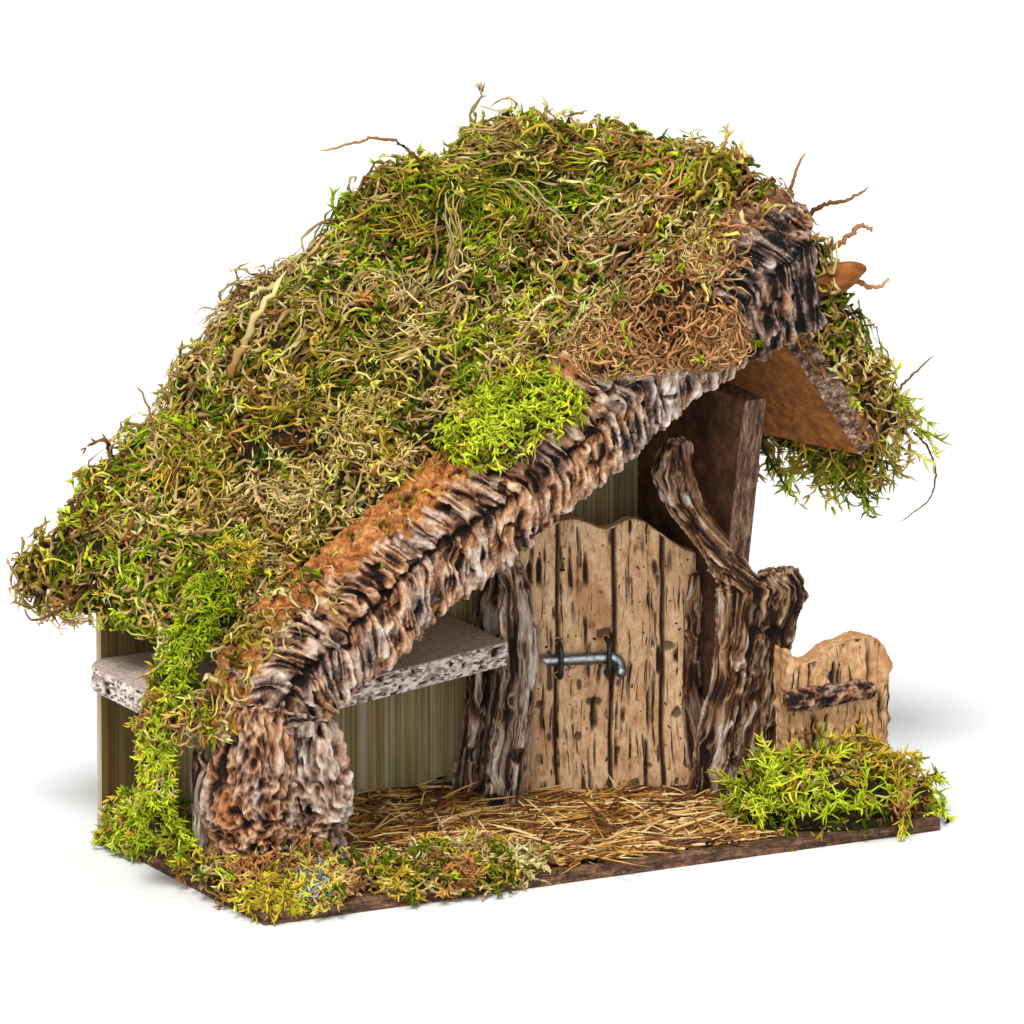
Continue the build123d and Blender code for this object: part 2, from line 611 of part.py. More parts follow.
def root(stands_behind):
    """The root at the right of the door: a leaning branch, a broken stub and a flat strand on the door."""
    half = ROOT_WIDTH / 2
    deep = ROOT_DEPTH / 2
    x = SIDE_INNER + ROOT_OFFSET
    heights = [BASE_TOP + ROOT_HEIGHT * share for share in (0.0, 0.2, 0.42, 0.6, 0.72, 0.82, 0.92, 1.0)]
    leans = (0.05, 0.0, -0.12, -0.1, 0.35, 0.78, 1.0, 0.94)
    widths = (1.15, 0.95, 0.95, 1.0, 0.82, 0.8, 0.95, 0.7)
    backs = [side_front(z) - deep + ROOT_BEDDING for z in heights[:4]]
    backs += [backs[3] + ROOT_CROOK * share for share in (0.33, 0.78, 1.0, 1.0)]
    stations = []
    for z, lean, width, y in zip(heights, leans, widths, backs):
        stations.append((z, x - lean * ROOT_TOP_LEAN, y, half * width, deep * width))
    branch = scribe(limb(stations, ripple=0.12, lobes=4, twist=0.025, sides=12), *stands_behind)
    half = ROOT_STUB_WIDTH / 2
    x = x + ROOT_STUB_OFFSET
    stub_levels = [BASE_TOP + ROOT_STUB_HEIGHT * share for share in (0.0, 0.35, 0.65, 0.88, 1.0)]
    stub_widths = (1.1, 0.85, 1.05, 1.4, 1.1)
    drifts = (-0.1, 0.0, 0.25, 0.45, 0.35)
    stations = []
    for z, width, drift in zip(stub_levels, stub_widths, drifts):
        y = side_front(z) - deep + ROOT_BEDDING
        stations.append((z, x + drift * half, y, half * width, deep * width * 0.85))
    stub = scribe(limb(stations, ripple=0.14, lobes=3, twist=0.03), branch, *stands_behind)
    half = ROOT_STRAND_WIDTH / 2
    x = SIDE_INNER - ROOT_STRAND_INSET
    face = DOOR_RIGHT.Y + (DOOR_RIGHT.X - x) * tan(DOOR_TURN)
    strand = scribe(limb([
        (BASE_TOP, x + half, face - half, half * 1.1, half * 1.2),
        (BASE_TOP + 0.5 * ROOT_STRAND_HEIGHT, x, face - half * 0.6, half, half),
        (BASE_TOP + ROOT_STRAND_HEIGHT, x + half * 0.4, face - half * 0.4, half * 0.6, half * 0.7),
    ], ripple=0.12, lobes=3, twist=0.04, sides=8), branch, *stands_behind)
    return branch, stub, strand


# The garden wall stands along the right of the base
GARDEN_LEFT = RIGHT_EDGE - GARDEN_WALL_LENGTH
GARDEN_FRONT = FRONT_EDGE + GARDEN_WALL_SETBACK


def garden_wall():
    """A cork slab with a wavy top: a dip at the left and a hump at the right."""
    top = BASE_TOP + GARDEN_WALL_HEIGHT
    crest = Spline(
        (RIGHT_EDGE, GARDEN_FRONT, top - 1.6 * GARDEN_HUMP_DROP),
        (RIGHT_EDGE - 0.12 * GARDEN_WALL_LENGTH, GARDEN_FRONT, top - 0.4 * GARDEN_HUMP_DROP),
        (RIGHT_EDGE - 0.36 * GARDEN_WALL_LENGTH, GARDEN_FRONT, top),
        (RIGHT_EDGE - 0.7 * GARDEN_WALL_LENGTH, GARDEN_FRONT, top - GARDEN_HUMP_DROP),
        (GARDEN_LEFT, GARDEN_FRONT, top - 0.2 * GARDEN_HUMP_DROP),
    )
    sides = Polyline(
        crest @ 1,
        (GARDEN_LEFT, GARDEN_FRONT, BASE_TOP),
        (RIGHT_EDGE, GARDEN_FRONT, BASE_TOP),
        crest @ 0,
    )
    return Solid.extrude(Face(Wire([crest.edge(), *sides.edges()])), Vector(0, GARDEN_WALL_THICKNESS, 0))


def garden_rail():
    """A split of bark across the front of the garden wall."""
    sections = []
    for share, swell in ((0.0, 0.75), (0.3, 1.0), (0.65, 0.9), (1.0, 0.8)):
        x = GARDEN_LEFT + share * (GARDEN_WALL_LENGTH - RAIL_THICKNESS) - 0.5 * RAIL_THICKNESS
        half = RAIL_HEIGHT / 2 * swell
        out = GARDEN_FRONT - RAIL_THICKNESS * swell
        z = BASE_TOP + RAIL_LEVEL
        profile = [(GARDEN_FRONT, -half), (out, -half * 0.7), (out - RAIL_THICKNESS * 0.2, 0.0)]
        profile += [(out, half * 0.7), (GARDEN_FRONT, half)]
        sections.append(polygon([(x, y, z + up) for y, up in profile]))
    return Solid.make_loft(sections, ruled=True)


def slate_chip():
    """A flat stone chip at the garden wall's foot."""
    x = GARDEN_LEFT + CHIP_LENGTH / 2
    y = GARDEN_FRONT - 0.55 * CHIP_DEPTH
    half = CHIP_LENGTH / 2
    deep = CHIP_DEPTH / 2
    rings = [
        ring(x, y, BASE_TOP, half, deep, 0.08, 3, 0.4, 7),
        ring(x, y, BASE_TOP + 0.7 * CHIP_HEIGHT, half * 0.94, deep * 0.9, 0.08, 3, 0.6, 7),
        ring(x - CHIP_LEAN, y, BASE_TOP + CHIP_HEIGHT, half * 0.7, deep * 0.6, 0.1, 2, 0.9, 7),
    ]
    return Solid.make_loft(rings, ruled=True)


def bark_scrap():
    """A scrap of bark at the back wall's foot."""
    left = LEFT_EDGE + SCRAP_THICKNESS
    sections = []
    for share, swell in ((0.0, 0.7), (0.4, 1.0), (1.0, 0.6)):
        x = left + share * SCRAP_LENGTH
        profile = [
            (WALL_FACE, BASE_TOP),
            (WALL_FACE - SCRAP_THICKNESS * 1.5 * swell, BASE_TOP),
            (WALL_FACE - SCRAP_THICKNESS * swell, BASE_TOP + 0.7 * SCRAP_HEIGHT * swell),
            (WALL_FACE, BASE_TOP + SCRAP_HEIGHT * swell),
        ]
        sections.append(polygon([(x, y, z) for y, z in profile]))
    return Solid.make_loft(sections, ruled=True)


def eased(value, low, high):
    """A smooth step from 0 at low to 1 at high."""
    share = min(1.0, max(0.0, (value - low) / (high - low)))
    return share * share * (3 - 2 * share)


def left_moss_thickness(share, peak):
    """Height of the moss over the left pitch, from the eave at 0 to the ridge at 1."""
    rise = MOSS_EAVE_SHARE + (1 - MOSS_EAVE_SHARE) * eased(share, 0.08, 0.42)
    ridge = eased(share, 0.7, 1.0)
    return peak * rise * (1 - ridge) + ROOF_MOSS_RIDGE * ridge


def moss_lump(x, y):
    """Height of the roof moss's lumps and tufts at a place."""
    lump = sin(2 * pi * (x + 0.4 * y) / MOSS_LUMP_LENGTH)
    tuft = sin(2 * pi * (x - y) / MOSS_TUFT_LENGTH) * cos(2 * pi * (0.5 * x + 0.8 * y) / MOSS_TUFT_LENGTH)
    return MOSS_LUMP_HEIGHT * (lump + tuft)


def between(share, table):
    """A value read off a table of shares and values, on straight runs."""
    for (low, first), (high, last) in zip(table, table[1:]):
        if share <= high:
            return first + (last - first) * (share - low) / (high - low)
    return table[-1][1]


def roof_moss_left():
    """A lumpy mat of moss on the left pitch, thin behind the arch and deep along the back."""
    depth = ROOF_BACK - ROOF_FRONT
    run = LEFT_SLOPE_LENGTH * cos(radians(LEFT_PITCH)) / cos(radians(RIDGE_SKEW))
    step = ROOF_MOSS_BACK - ROOF_MOSS_FRONT
    peaks = [
        (0.0, ROOF_MOSS_FRONT),
        (0.22, ROOF_MOSS_FRONT + 0.35 * step),
        (0.48, ROOF_MOSS_FRONT + 0.75 * step),
        (0.8, ROOF_MOSS_BACK),
        (1.0, 0.93 * ROOF_MOSS_BACK),
    ]
    count = round(depth / MOSS_GRID)
    rows = [(ROOF_FRONT + depth * row / count, between(row / count, peaks)) for row in range(count + 1)]
    rows.append((ROOF_BACK + ROOF_MOSS_OVERHANG, 0.5 * ROOF_MOSS_BACK))
    places = round(run / MOSS_GRID)
    sections = []
    for y, peak in rows:
        ridge = ridge_at(y) - SOFT_GAP
        eave = ridge - run
        eave_z = left_top(eave, y)
        points = [(ridge, y, left_top(ridge, y) + SOFT_GAP), (eave - SOFT_GAP, y, eave_z + SOFT_GAP)]
        points.append((eave - 2 * SOFT_GAP, y, eave_z - ROOF_MOSS_LIP))
        points.append((eave - ROOF_MOSS_LIP_REACH, y, eave_z - 0.5 * ROOF_MOSS_LIP))
        for place in range(places + 1):
            share = place / places
            x = ridge - run * (1 - share)
            fade = (1 - eased(share, 0.8, 1.0)) * peak / ROOF_MOSS_BACK
            height = left_moss_thickness(share, peak) + fade * moss_lump(x, y)
            points.append((x, y, left_top(x, y) + height))
        sections.append(polygon(points))
    return Solid.make_loft(sections, ruled=True)


def roof_moss_right():
    """Lumpy moss down the right pitch, from the ridge to the eave."""
    run = RIGHT_SLOPE_LENGTH * cos(radians(RIGHT_PITCH)) / cos(radians(RIDGE_SKEW))
    depth = ROOF_BACK - ROOF_FRONT
    fullness = [(0.0, 0.9), (0.3, 1.0), (0.7, 0.9), (1.0, 0.6)]
    thinning = [(0.0, 1.0), (0.2, 1.0), (0.5, 0.72), (0.8, 0.55), (1.0, 0.45)]
    skew = radians(RIDGE_SKEW)
    tilt = radians(RIGHT_PITCH)
    out = (cos(skew) * sin(tilt), cos(tilt))
    rows = round(depth / MOSS_GRID)
    places = round(RIGHT_SLOPE_LENGTH / MOSS_GRID)
    sections = []
    for row in range(rows + 1):
        y = ROOF_FRONT + depth * row / rows
        ridge = ridge_at(y) + SOFT_GAP
        points = []
        for x in (ridge + run, ridge):
            points.append((x, y, right_top(x, y) + SOFT_GAP))
        points.append((ridge, y, RIDGE_HEIGHT + ROOF_MOSS_RIDGE))
        for place in range(2, places + 1):
            share = place / places
            x = ridge + run * share
            thin = between(share, thinning)
            lift = RIGHT_MOSS_THICKNESS * between(row / rows, fullness) * thin
            lift += 0.7 * thin * moss_lump(x + share * RIGHT_SLOPE_LENGTH / 2, y)
            points.append((x + lift * out[0], y, right_top(x, y) + lift * out[1]))
        sections.append(polygon(points))
    return Solid.make_loft(sections, ruled=True)


def arch_moss(start, length, stations):
    """Moss draped over the arch's edge; each station gives its place, fullness and how low it hangs."""
    sections = []
    for share, swell, low in stations:
        x, z, heading = arch_station(start + share * length)
        thick = DRAPE_THICKNESS * swell
        half = ARCH_WIDTH / 2
        profile = [
            (half + thick, SOFT_GAP),
            (half + thick, 0.4 * ARCH_THICKNESS),
            (0.82 * half + thick, 0.8 * ARCH_THICKNESS + 0.6 * thick),
            (0.5 * (low + 0.82) * half, ARCH_THICKNESS + thick),
            (low * half, ARCH_THICKNESS + 0.6 * thick),
            (low * half, 0.7 * ARCH_THICKNESS),
            (0.8 * half, SOFT_GAP),
        ]
        points = []
        for offset, forward in profile:
            points.append((x - offset * sin(heading), ROOF_FRONT - forward, z + offset * cos(heading)))
        sections.append(polygon(points))
    return Solid.make_loft(sections, ruled=True)


def arch_mosses():
    """The two drapes over the arch: a short one and, towards the ridge, a long one."""
    short = [(0.0, 0.4, 0.8), (0.25, 0.9, 0.7), (0.55, 1.0, 0.6), (0.85, 0.9, 0.5), (1.0, 0.4, 0.7)]
    long = [(0.0, 0.4, 0.6), (0.25, 0.9, 0.3), (0.5, 1.0, -0.1), (0.75, 1.0, -0.55), (1.0, 0.5, -0.6)]
    start = ARCH_LOWER_LENGTH - DRAPE_START
    ridgeward = start + SHORT_DRAPE_LENGTH + DRAPE_SPACING
    short_drape = arch_moss(start, SHORT_DRAPE_LENGTH, short)
    return short_drape, arch_moss(ridgeward, LONG_DRAPE_LENGTH, long)


def eave_moss_right():
    """A hanging clump under the right eave."""
    end = RIGHT_UPPER.from_local_coords((RIGHT_SLOPE_LENGTH, 0, 0))
    sections = []
    for share, swell in ((-0.12, 0.5), (0.06, 1.0), (0.35, 0.92), (0.7, 0.8), (1.0, 0.4)):
        along = share * EAVE_MOSS_LENGTH
        x = end.X - along * sin(radians(RIDGE_SKEW)) + SOFT_GAP
        y = end.Y + along * cos(radians(RIDGE_SKEW))
        reach = EAVE_MOSS_REACH * swell
        drop = EAVE_MOSS_DROP * swell
        profile = [(0.0, 0.0), (0.75 * reach, 0.25 * reach), (reach, -0.3 * drop), (0.6 * reach, -drop)]
        profile += [(0.15 * reach, -0.8 * drop)]
        sections.append(polygon([(x + side, y, end.Z + up) for side, up in profile]))
    return Solid.make_loft(sections, ruled=True)


def moss_strand_left():
    """A strand of moss that drapes off the left eave and hangs beside the trunk down to the base."""
    half = HANGING_MOSS_WIDTH / 2
    y = ROOF_FRONT + HANGING_MOSS_WIDTH
    outside = LOFT_LEFT - half * 0.7
    loft_top = LOFT_UNDERSIDE + LOFT_THICKNESS
    eave_x = ridge_at(y) - LEFT_SLOPE_LENGTH * cos(radians(LEFT_PITCH)) / cos(radians(RIDGE_SKEW))
    eave_z = left_top(eave_x, y)
    return limb([
        (BASE_TOP + 0.5 * BASE_MOSS_HEIGHT, LEFT_EDGE, y, half * 0.5, half * 0.6),
        (BASE_TOP + 0.4 * LOFT_CLEAR_HEIGHT, outside, y, half * 0.9, half),
        (LOFT_UNDERSIDE, outside, y, half * 0.7, half),
        (loft_top + 0.4 * (eave_z - loft_top), outside + half, y, half * 0.8, half),
        (eave_z + MOSS_EAVE_SHARE * ROOF_MOSS_BACK, eave_x, y, half, half * 0.8),
    ], ripple=0.14, lobes=3, twist=0.05, sides=8)


def base_mosses():
    """The clumps on the base: back left, round the trunk, at the front and at the garden wall."""
    front = FRONT_EDGE - BASE_MOSS_OVERHANG
    left = LEFT_EDGE - BASE_MOSS_OVERHANG
    half_x = LEFT_CLUMP_WIDTH / 2
    half_y = LEFT_CLUMP_DEPTH / 2
    left_y = WALL_FACE - LEFT_CLUMP_GAP - half_y
    left_clump = mound(left + half_x, left_y, half_x, half_y, BASE_MOSS_HEIGHT, 5, 0.4)
    half_x = CORNER_CLUMP_WIDTH / 2
    half_y = CORNER_CLUMP_DEPTH / 2
    corner_clump = mound(left + half_x, front + half_y, half_x, half_y, BASE_MOSS_HEIGHT, 6, 1.1)
    half_x = FRONT_CLUMP_WIDTH / 2
    half_y = FRONT_CLUMP_DEPTH / 2
    front_x = left + 0.85 * CORNER_CLUMP_WIDTH + half_x
    front_clump = mound(front_x, front + half_y, half_x, half_y, 0.75 * BASE_MOSS_HEIGHT, 7, 2.0)
    half_x = RIGHT_CLUMP_WIDTH / 2
    half_y = (GARDEN_FRONT - front) / 2 + GARDEN_WALL_THICKNESS
    right_x = RIGHT_EDGE + 2 * BASE_MOSS_OVERHANG - half_x
    right_clump = mound(right_x, front + half_y, half_x, half_y, RIGHT_CLUMP_HEIGHT, 5, 0.9)
    return left_clump, corner_clump, front_clump, right_clump


def straw_wisp(x, y, turn, scale):
    """A low bundle of straw lying in the bed."""
    frame = Plane((x, y, BASE_TOP), x_dir=(cos(turn), sin(turn), 0), z_dir=(0, 0, 1))
    half_length = scale * WISP_LENGTH / 2
    half_width = scale * WISP_WIDTH / 2
    rings = []
    for z, share in ((0.0, 1.0), (STRAW_THICKNESS + WISP_HEIGHT, 0.45)):
        corners = [(-half_length, 0), (0, -half_width), (half_length, 0), (0, half_width)]
        rings.append(polygon([frame.from_local_coords((share * a, share * b, z)) for a, b in corners]))
    return Solid.make_loft(rings, ruled=True)


def straw_bed():
    """A thin bed of straw before the door and under the loft, with bundles of straw across it."""
    left = ARCH_FOOT_X + TRUNK_LOBE_WIDTH
    half_x = (SIDE_INNER - left) / 2
    half_y = (WALL_FACE - FRONT_EDGE) * 0.43
    x = left + half_x
    y = FRONT_EDGE + half_y
    rings = [
        ring(x, y, BASE_TOP, half_x, half_y, 0.05, 5, 0.5, 18),
        ring(x, y, BASE_TOP + STRAW_THICKNESS, 0.94 * half_x, 0.92 * half_y, 0.05, 5, 0.5, 18),
    ]
    bed = Solid.make_loft(rings, ruled=True)
    wisps = []
    across = int(half_x / WISP_SPACING)
    deep = int(half_y / WISP_SPACING)
    for row in range(-deep, deep + 1):
        for place in range(-across, across + 1):
            drift = 0.25 * WISP_SPACING * sin(5 * place + 3 * row)
            wisp_x = x + place * WISP_SPACING + drift + (row % 2) * WISP_SPACING / 2
            wisp_y = y + row * WISP_SPACING + 0.7 * drift
            inside = ((wisp_x - x) / half_x) ** 2 + ((wisp_y - y) / half_y) ** 2
            if inside < 0.62:
                turn = 0.6 * sin(2 * place + 4 * row)
                wisps.append(straw_wisp(wisp_x, wisp_y, turn, 0.9 + 0.2 * sin(place + row)))
    return bed.fuse(*wisps)


def build():
    parts = {}
    pins_back = back_wall_pins()
    pins_ridge = ridge_pins()
    parts["base_board"] = base_board()
    parts["back_wall"] = scribe(back_wall(), *pins_back)
    parts["right_wall"] = scribe(right_wall(), *pins_back[:WALL_PIN_COUNT])
    parts["loft_board"] = scribe(loft_board(), *pins_back[WALL_PIN_COUNT:])
    parts["roof_board_left"] = scribe(roof_board_left(), *pins_ridge)
    parts["roof_board_right"] = scribe(roof_board_right(), *pins_ridge)
    parts["back_wall_pins"] = Compound(pins_back)
    parts["ridge_pins"] = Compound(pins_ridge)
    lower, upper, ridge_end = cork_arch()
    lobe, side, stem = cork_trunk()
    parts["cork_arch_lower"] = lower
    parts["cork_arch_upper"] = upper
    parts["cork_ridge_end"] = ridge_end
    parts["cork_trunk"] = scribe(lobe, parts["loft_board"])
    parts["cork_trunk_side"] = scribe(side, parts["loft_board"])
    parts["trunk_stem"] = scribe(stem, parts["loft_board"])
    parts["door"] = door()
    parts["bolt"] = bolt()
    parts["staple_left"], parts["staple_right"] = [staple(tip) for tip in STAPLE_TIPS]
    front, rear, strand = posts()
    parts["door_post_front"] = scribe(front, parts["loft_board"], parts["door"])
    parts["door_post_rear"] = scribe(rear, parts["loft_board"], parts["door"])
    parts["door_post_strand"] = scribe(strand, parts["door_post_front"])
    branch, stub, root_strand = root([parts["right_wall"], parts["door"]])
    parts["root_branch"] = branch
    parts["root_stub"] = stub
    parts["root_strand"] = root_strand
    parts["garden_wall"] = scribe(garden_wall(), stub)
    parts["garden_rail"] = scribe(garden_rail(), stub)
    parts["slate_chip"] = slate_chip()
    parts["bark_scrap"] = bark_scrap()
    stones = [parts["slate_chip"], parts["garden_wall"]]
    roots = [branch, stub, root_strand, parts["door"]]
    trunk = [parts["cork_trunk"], parts["cork_trunk_side"], parts["trunk_stem"]]
    standing = [parts["door_post_front"], parts["door_post_rear"]]
    left_clump, front_left, front_clump, right_clump = base_mosses()
    parts["base_moss_left"] = scribe(left_clump, parts["bark_scrap"], *trunk)
    parts["base_moss_front_left"] = scribe(front_left, parts["base_moss_left"], *trunk)
    parts["base_moss_front"] = scribe(front_clump, parts["base_moss_front_left"], *trunk)
    parts["base_moss_right"] = scribe(right_clump, parts["right_wall"], *stones, *roots)
    clumps = [parts["base_moss_front"], parts["base_moss_front_left"], parts["base_moss_right"]]
    parts["straw_bed"] = scribe(straw_bed(), *clumps, *trunk, *standing, *roots)
    short_drape, long_drape = arch_mosses()
    arch = [lower, upper, ridge_end]
    parts["arch_moss_left"] = scribe(short_drape, *arch)
    parts["arch_moss_right"] = scribe(long_drape, *arch)
    parts["roof_moss_left"] = roof_moss_left()
    parts["roof_moss_right"] = roof_moss_right()
    parts["eave_moss_right"] = scribe(eave_moss_right(), parts["roof_board_right"], parts["roof_moss_right"])
    hanging = [parts["roof_board_left"], parts["loft_board"], parts["roof_moss_left"], lower, *trunk]
    clumps = [parts["base_moss_left"], parts["base_moss_front_left"]]
    parts["moss_strand_left"] = scribe(moss_strand_left(), *clumps, *hanging)
    return parts


os.makedirs("parts", exist_ok=True)
for name, shape in build().items():
    export_step(shape, f"parts/{name}.step")
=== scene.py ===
import json
import math
from itertools import product

import bmesh
import bpy
import numpy as np
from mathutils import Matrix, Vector
from mathutils.bvhtree import BVHTree

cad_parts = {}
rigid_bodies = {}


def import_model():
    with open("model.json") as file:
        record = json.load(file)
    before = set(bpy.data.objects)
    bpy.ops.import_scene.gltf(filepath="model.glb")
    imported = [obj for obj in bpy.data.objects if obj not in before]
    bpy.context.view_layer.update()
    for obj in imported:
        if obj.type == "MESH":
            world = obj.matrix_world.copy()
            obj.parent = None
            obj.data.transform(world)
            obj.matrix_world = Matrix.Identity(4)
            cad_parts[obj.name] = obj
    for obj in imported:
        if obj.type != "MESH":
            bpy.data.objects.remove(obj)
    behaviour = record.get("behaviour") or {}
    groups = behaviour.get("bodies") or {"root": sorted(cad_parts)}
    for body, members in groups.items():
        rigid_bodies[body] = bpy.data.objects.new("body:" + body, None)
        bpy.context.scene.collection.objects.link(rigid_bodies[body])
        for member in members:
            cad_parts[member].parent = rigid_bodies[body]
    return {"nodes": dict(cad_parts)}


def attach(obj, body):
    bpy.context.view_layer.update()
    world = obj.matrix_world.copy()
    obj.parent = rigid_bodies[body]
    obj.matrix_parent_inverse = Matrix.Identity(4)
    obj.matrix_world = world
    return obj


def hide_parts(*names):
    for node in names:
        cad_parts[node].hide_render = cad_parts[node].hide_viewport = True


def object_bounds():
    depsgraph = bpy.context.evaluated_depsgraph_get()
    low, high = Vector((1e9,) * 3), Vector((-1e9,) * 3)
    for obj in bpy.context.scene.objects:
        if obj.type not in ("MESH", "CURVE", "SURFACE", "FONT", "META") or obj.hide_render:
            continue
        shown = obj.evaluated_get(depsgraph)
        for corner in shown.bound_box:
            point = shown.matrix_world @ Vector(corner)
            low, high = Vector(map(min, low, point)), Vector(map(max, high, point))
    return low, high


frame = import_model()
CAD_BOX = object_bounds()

# A nativity stable of boards, cork bark and driftwood, dressed with moss and straw.
# The frame's metres are read as millimetres here, because all of its detail is that small.
MM = 0.001
BODY = "stable"

# Camera, at the front left and a little above
VIEW_AZIMUTH = -28.0
VIEW_ELEVATION = 14.0
VIEW_TARGET = (-2.56, 1.36, 131.4)
VIEW_DISTANCE = 6000.0
VIEW_WIDTH = 402.5

# Lamps: azimuth and elevation of the source, power and angular size
LAMPS = {
    "key": (-40, 55, 2.5, 20),
    "front": (-28, 14, 1.0, 45),
    "fill": (55, 70, 0.3, 60),
}
WORLD_LIGHT = 0.42
FLOOR_SIZE = 6.0

# The skewed roof's front edge and the bark arch that follows it, as in the solids
ROOF_FRONT = -22.0
ROOF_DEPTH = 107.0
RIDGE_X = 83.0
RIDGE_HEIGHT = 245.0
LEFT_RUN = 207.5
RIDGE_SKEW = math.radians(20.0)
LEFT_PITCH = math.radians(35.0)
RIGHT_PITCH = math.radians(56.9)
ARCH_FOOT = (-128.0, 64.0)
ARCH_BEND_RADIUS = 38.0
ARCH_RISE = math.atan(math.tan(LEFT_PITCH) * math.cos(RIDGE_SKEW))
ARCH_TURN = math.pi / 2 - ARCH_RISE
ARCH_WIDTH = 49.0
CORK_EDGE = 0.36 * ARCH_WIDTH
ARCH_NECK = (-118.0, -34.0)
NECK_SHARE = 0.16
DOOR_TURN = math.radians(17.0)
DOOR_GROOVES = (-20.5, 2.5, 22.5)
PALE_STREAK_X = -34.0
DARK_END_X = -130.0
BASE_TOP = 5.0

# How far soft strands may reach past the solids, and the room that leaves them, from the floor up
SOFT_REACH = 13.0
ROOM = np.array([[coordinate / MM for coordinate in corner] for corner in CAD_BOX])
ROOM += ((-SOFT_REACH, -SOFT_REACH, 0.4), (SOFT_REACH, SOFT_REACH, SOFT_REACH))


def lattice(cells, seed):
    """A repeatable random number from 0 to 1 at each whole lattice cell, mixed by large primes."""
    mixed = cells[:, 0] * 73856093 ^ cells[:, 1] * 19349663 ^ cells[:, 2] * 83492791 ^ (seed + 7) * 50331653
    mixed = (mixed ^ mixed >> 13) * 1274126177 & 0xFFFFFFFF
    mixed = (mixed ^ mixed >> 15) * 2246822519 & 0xFFFFFFFF
    return (mixed ^ mixed >> 16 & 0xFFFF) % 65536 / 65535


def noise(points, seed=0):
    """Smooth noise from -1 to 1, with one lattice cell per unit."""
    cells = np.floor(points).astype(np.int64)
    share = points - cells
    share = share * share * (3 - 2 * share)
    total = np.zeros(len(points))
    for corner in product((0, 1), repeat=3):
        weight = np.where(corner, share, 1 - share).prod(axis=1)
        total += weight * lattice(cells + corner, seed)
    return 2 * total - 1


def layered(points, octaves, seed):
    """Noise in octaves, each half the size of the one before."""
    total = np.zeros(len(points))
    for octave in range(octaves):
        total += noise(points * 2 ** octave + 19.7 * octave, seed + octave) / 2 ** octave
    return total


def crests(points, octaves, seed):
    """Noise folded into sharp crests, from 0 in the hollows to 1."""
    return np.clip(1 - 1.6 * np.abs(layered(points, octaves, seed)), 0, 1)


def step(values, low, high):
    """A smooth step from 0 at low to 1 at high."""
    share = np.clip((values - low) / (high - low), 0, 1)
    return share * share * (3 - 2 * share)


def columns(*values):
    return np.stack(values, axis=1)


def wander(points, seed):
    """Smooth noise in each of three directions."""
    return columns(*[noise(points, seed + axis) for axis in range(3)])


def unit(vectors):
    return vectors / np.maximum(np.linalg.norm(vectors, axis=-1, keepdims=True), 1e-9)


def laid_flat(vectors, normals):
    """Unit vectors turned to lie along a surface."""
    return unit(vectors - (vectors * normals).sum(axis=-1, keepdims=True) * normals)


def linked(name, data):
    piece = bpy.data.objects.new(name, data)
    bpy.context.scene.collection.objects.link(piece)
    return piece


def smooth(mesh):
    mesh.polygons.foreach_set("use_smooth", [True] * len(mesh.polygons))


def piece_from(name, points, faces):
    """A smooth-shaded mesh piece from points in mm."""
    mesh = bpy.data.meshes.new(name)
    mesh.from_pydata((points * MM).tolist(), [], faces)
    smooth(mesh)
    return linked(name, mesh)


def places(piece):
    """A piece's points in mm and its unit normals."""
    count = len(piece.data.vertices)
    points = np.empty(count * 3, np.float32)
    normals = np.empty(count * 3, np.float32)
    piece.data.vertices.foreach_get("co", points)
    piece.data.vertex_normals.foreach_get("vector", normals)
    return points.reshape(-1, 3).astype(float) / MM, normals.reshape(-1, 3).astype(float)


def dense_copy(name, nodes, voxel, relax):
    """An even, dense copy of CAD nodes grown together: the piece, its points and its normals."""
    shape = bmesh.new()
    for node in nodes:
        shape.from_mesh(frame["nodes"][node].data)
    bmesh.ops.remove_doubles(shape, verts=shape.verts, dist=0.01 * MM)
    mesh = bpy.data.meshes.new(name)
    shape.to_mesh(mesh)
    shape.free()
    piece = linked(name, mesh)
    dense = piece.modifiers.new("dense", "REMESH")
    dense.mode = "VOXEL"
    dense.voxel_size = voxel * MM
    if relax:
        easing = piece.modifiers.new("easing", "SMOOTH")
        easing.iterations = relax
    bpy.context.view_layer.update()
    shaped = bpy.data.meshes.new_from_object(piece.evaluated_get(bpy.context.evaluated_depsgraph_get()))
    piece.modifiers.clear()
    piece.data = shaped
    shaped.name = name
    smooth(shaped)
    return piece, *places(piece)


def raised(points, normals, depth):
    """Points moved out along their normals by depths in mm."""
    return points + normals * depth[:, None]


def move_to(piece, points):
    piece.data.vertices.foreach_set("co", (points * MM).astype(np.float32).ravel())
    piece.data.update()


def mark(piece, **values):
    """Named numbers on a piece's points, which its material reads."""
    for name, numbers in values.items():
        layer = piece.data.attributes.new(name, "FLOAT", "POINT")
        layer.data.foreach_set("value", np.asarray(numbers, np.float32))


def grain(piece, *axes):
    """A place in mm along the piece's own grain, which its material reads in metres."""
    layer = piece.data.attributes.new("grain", "FLOAT_VECTOR", "POINT")
    layer.data.foreach_set("vector", (columns(*axes) * MM).astype(np.float32).ravel())


def tint(piece, colours):
    """A colour on each of a piece's points."""
    layer = piece.data.color_attributes.new("tint", "FLOAT_COLOR", "POINT")
    full = np.concatenate([colours, np.ones((len(colours), 1))], axis=1)
    layer.data.foreach_set("color", full.astype(np.float32).ravel())


def tone(code):
    """A colour written in screen hex, as the shader's linear numbers."""
    channels = [int(code[start:start + 2], 16) / 255 for start in (0, 2, 4)]
    return [c / 12.92 if c <= 0.04045 else ((c + 0.055) / 1.055) ** 2.4 for c in channels]


def tones(codes):
    return np.array([tone(code) for code in codes])


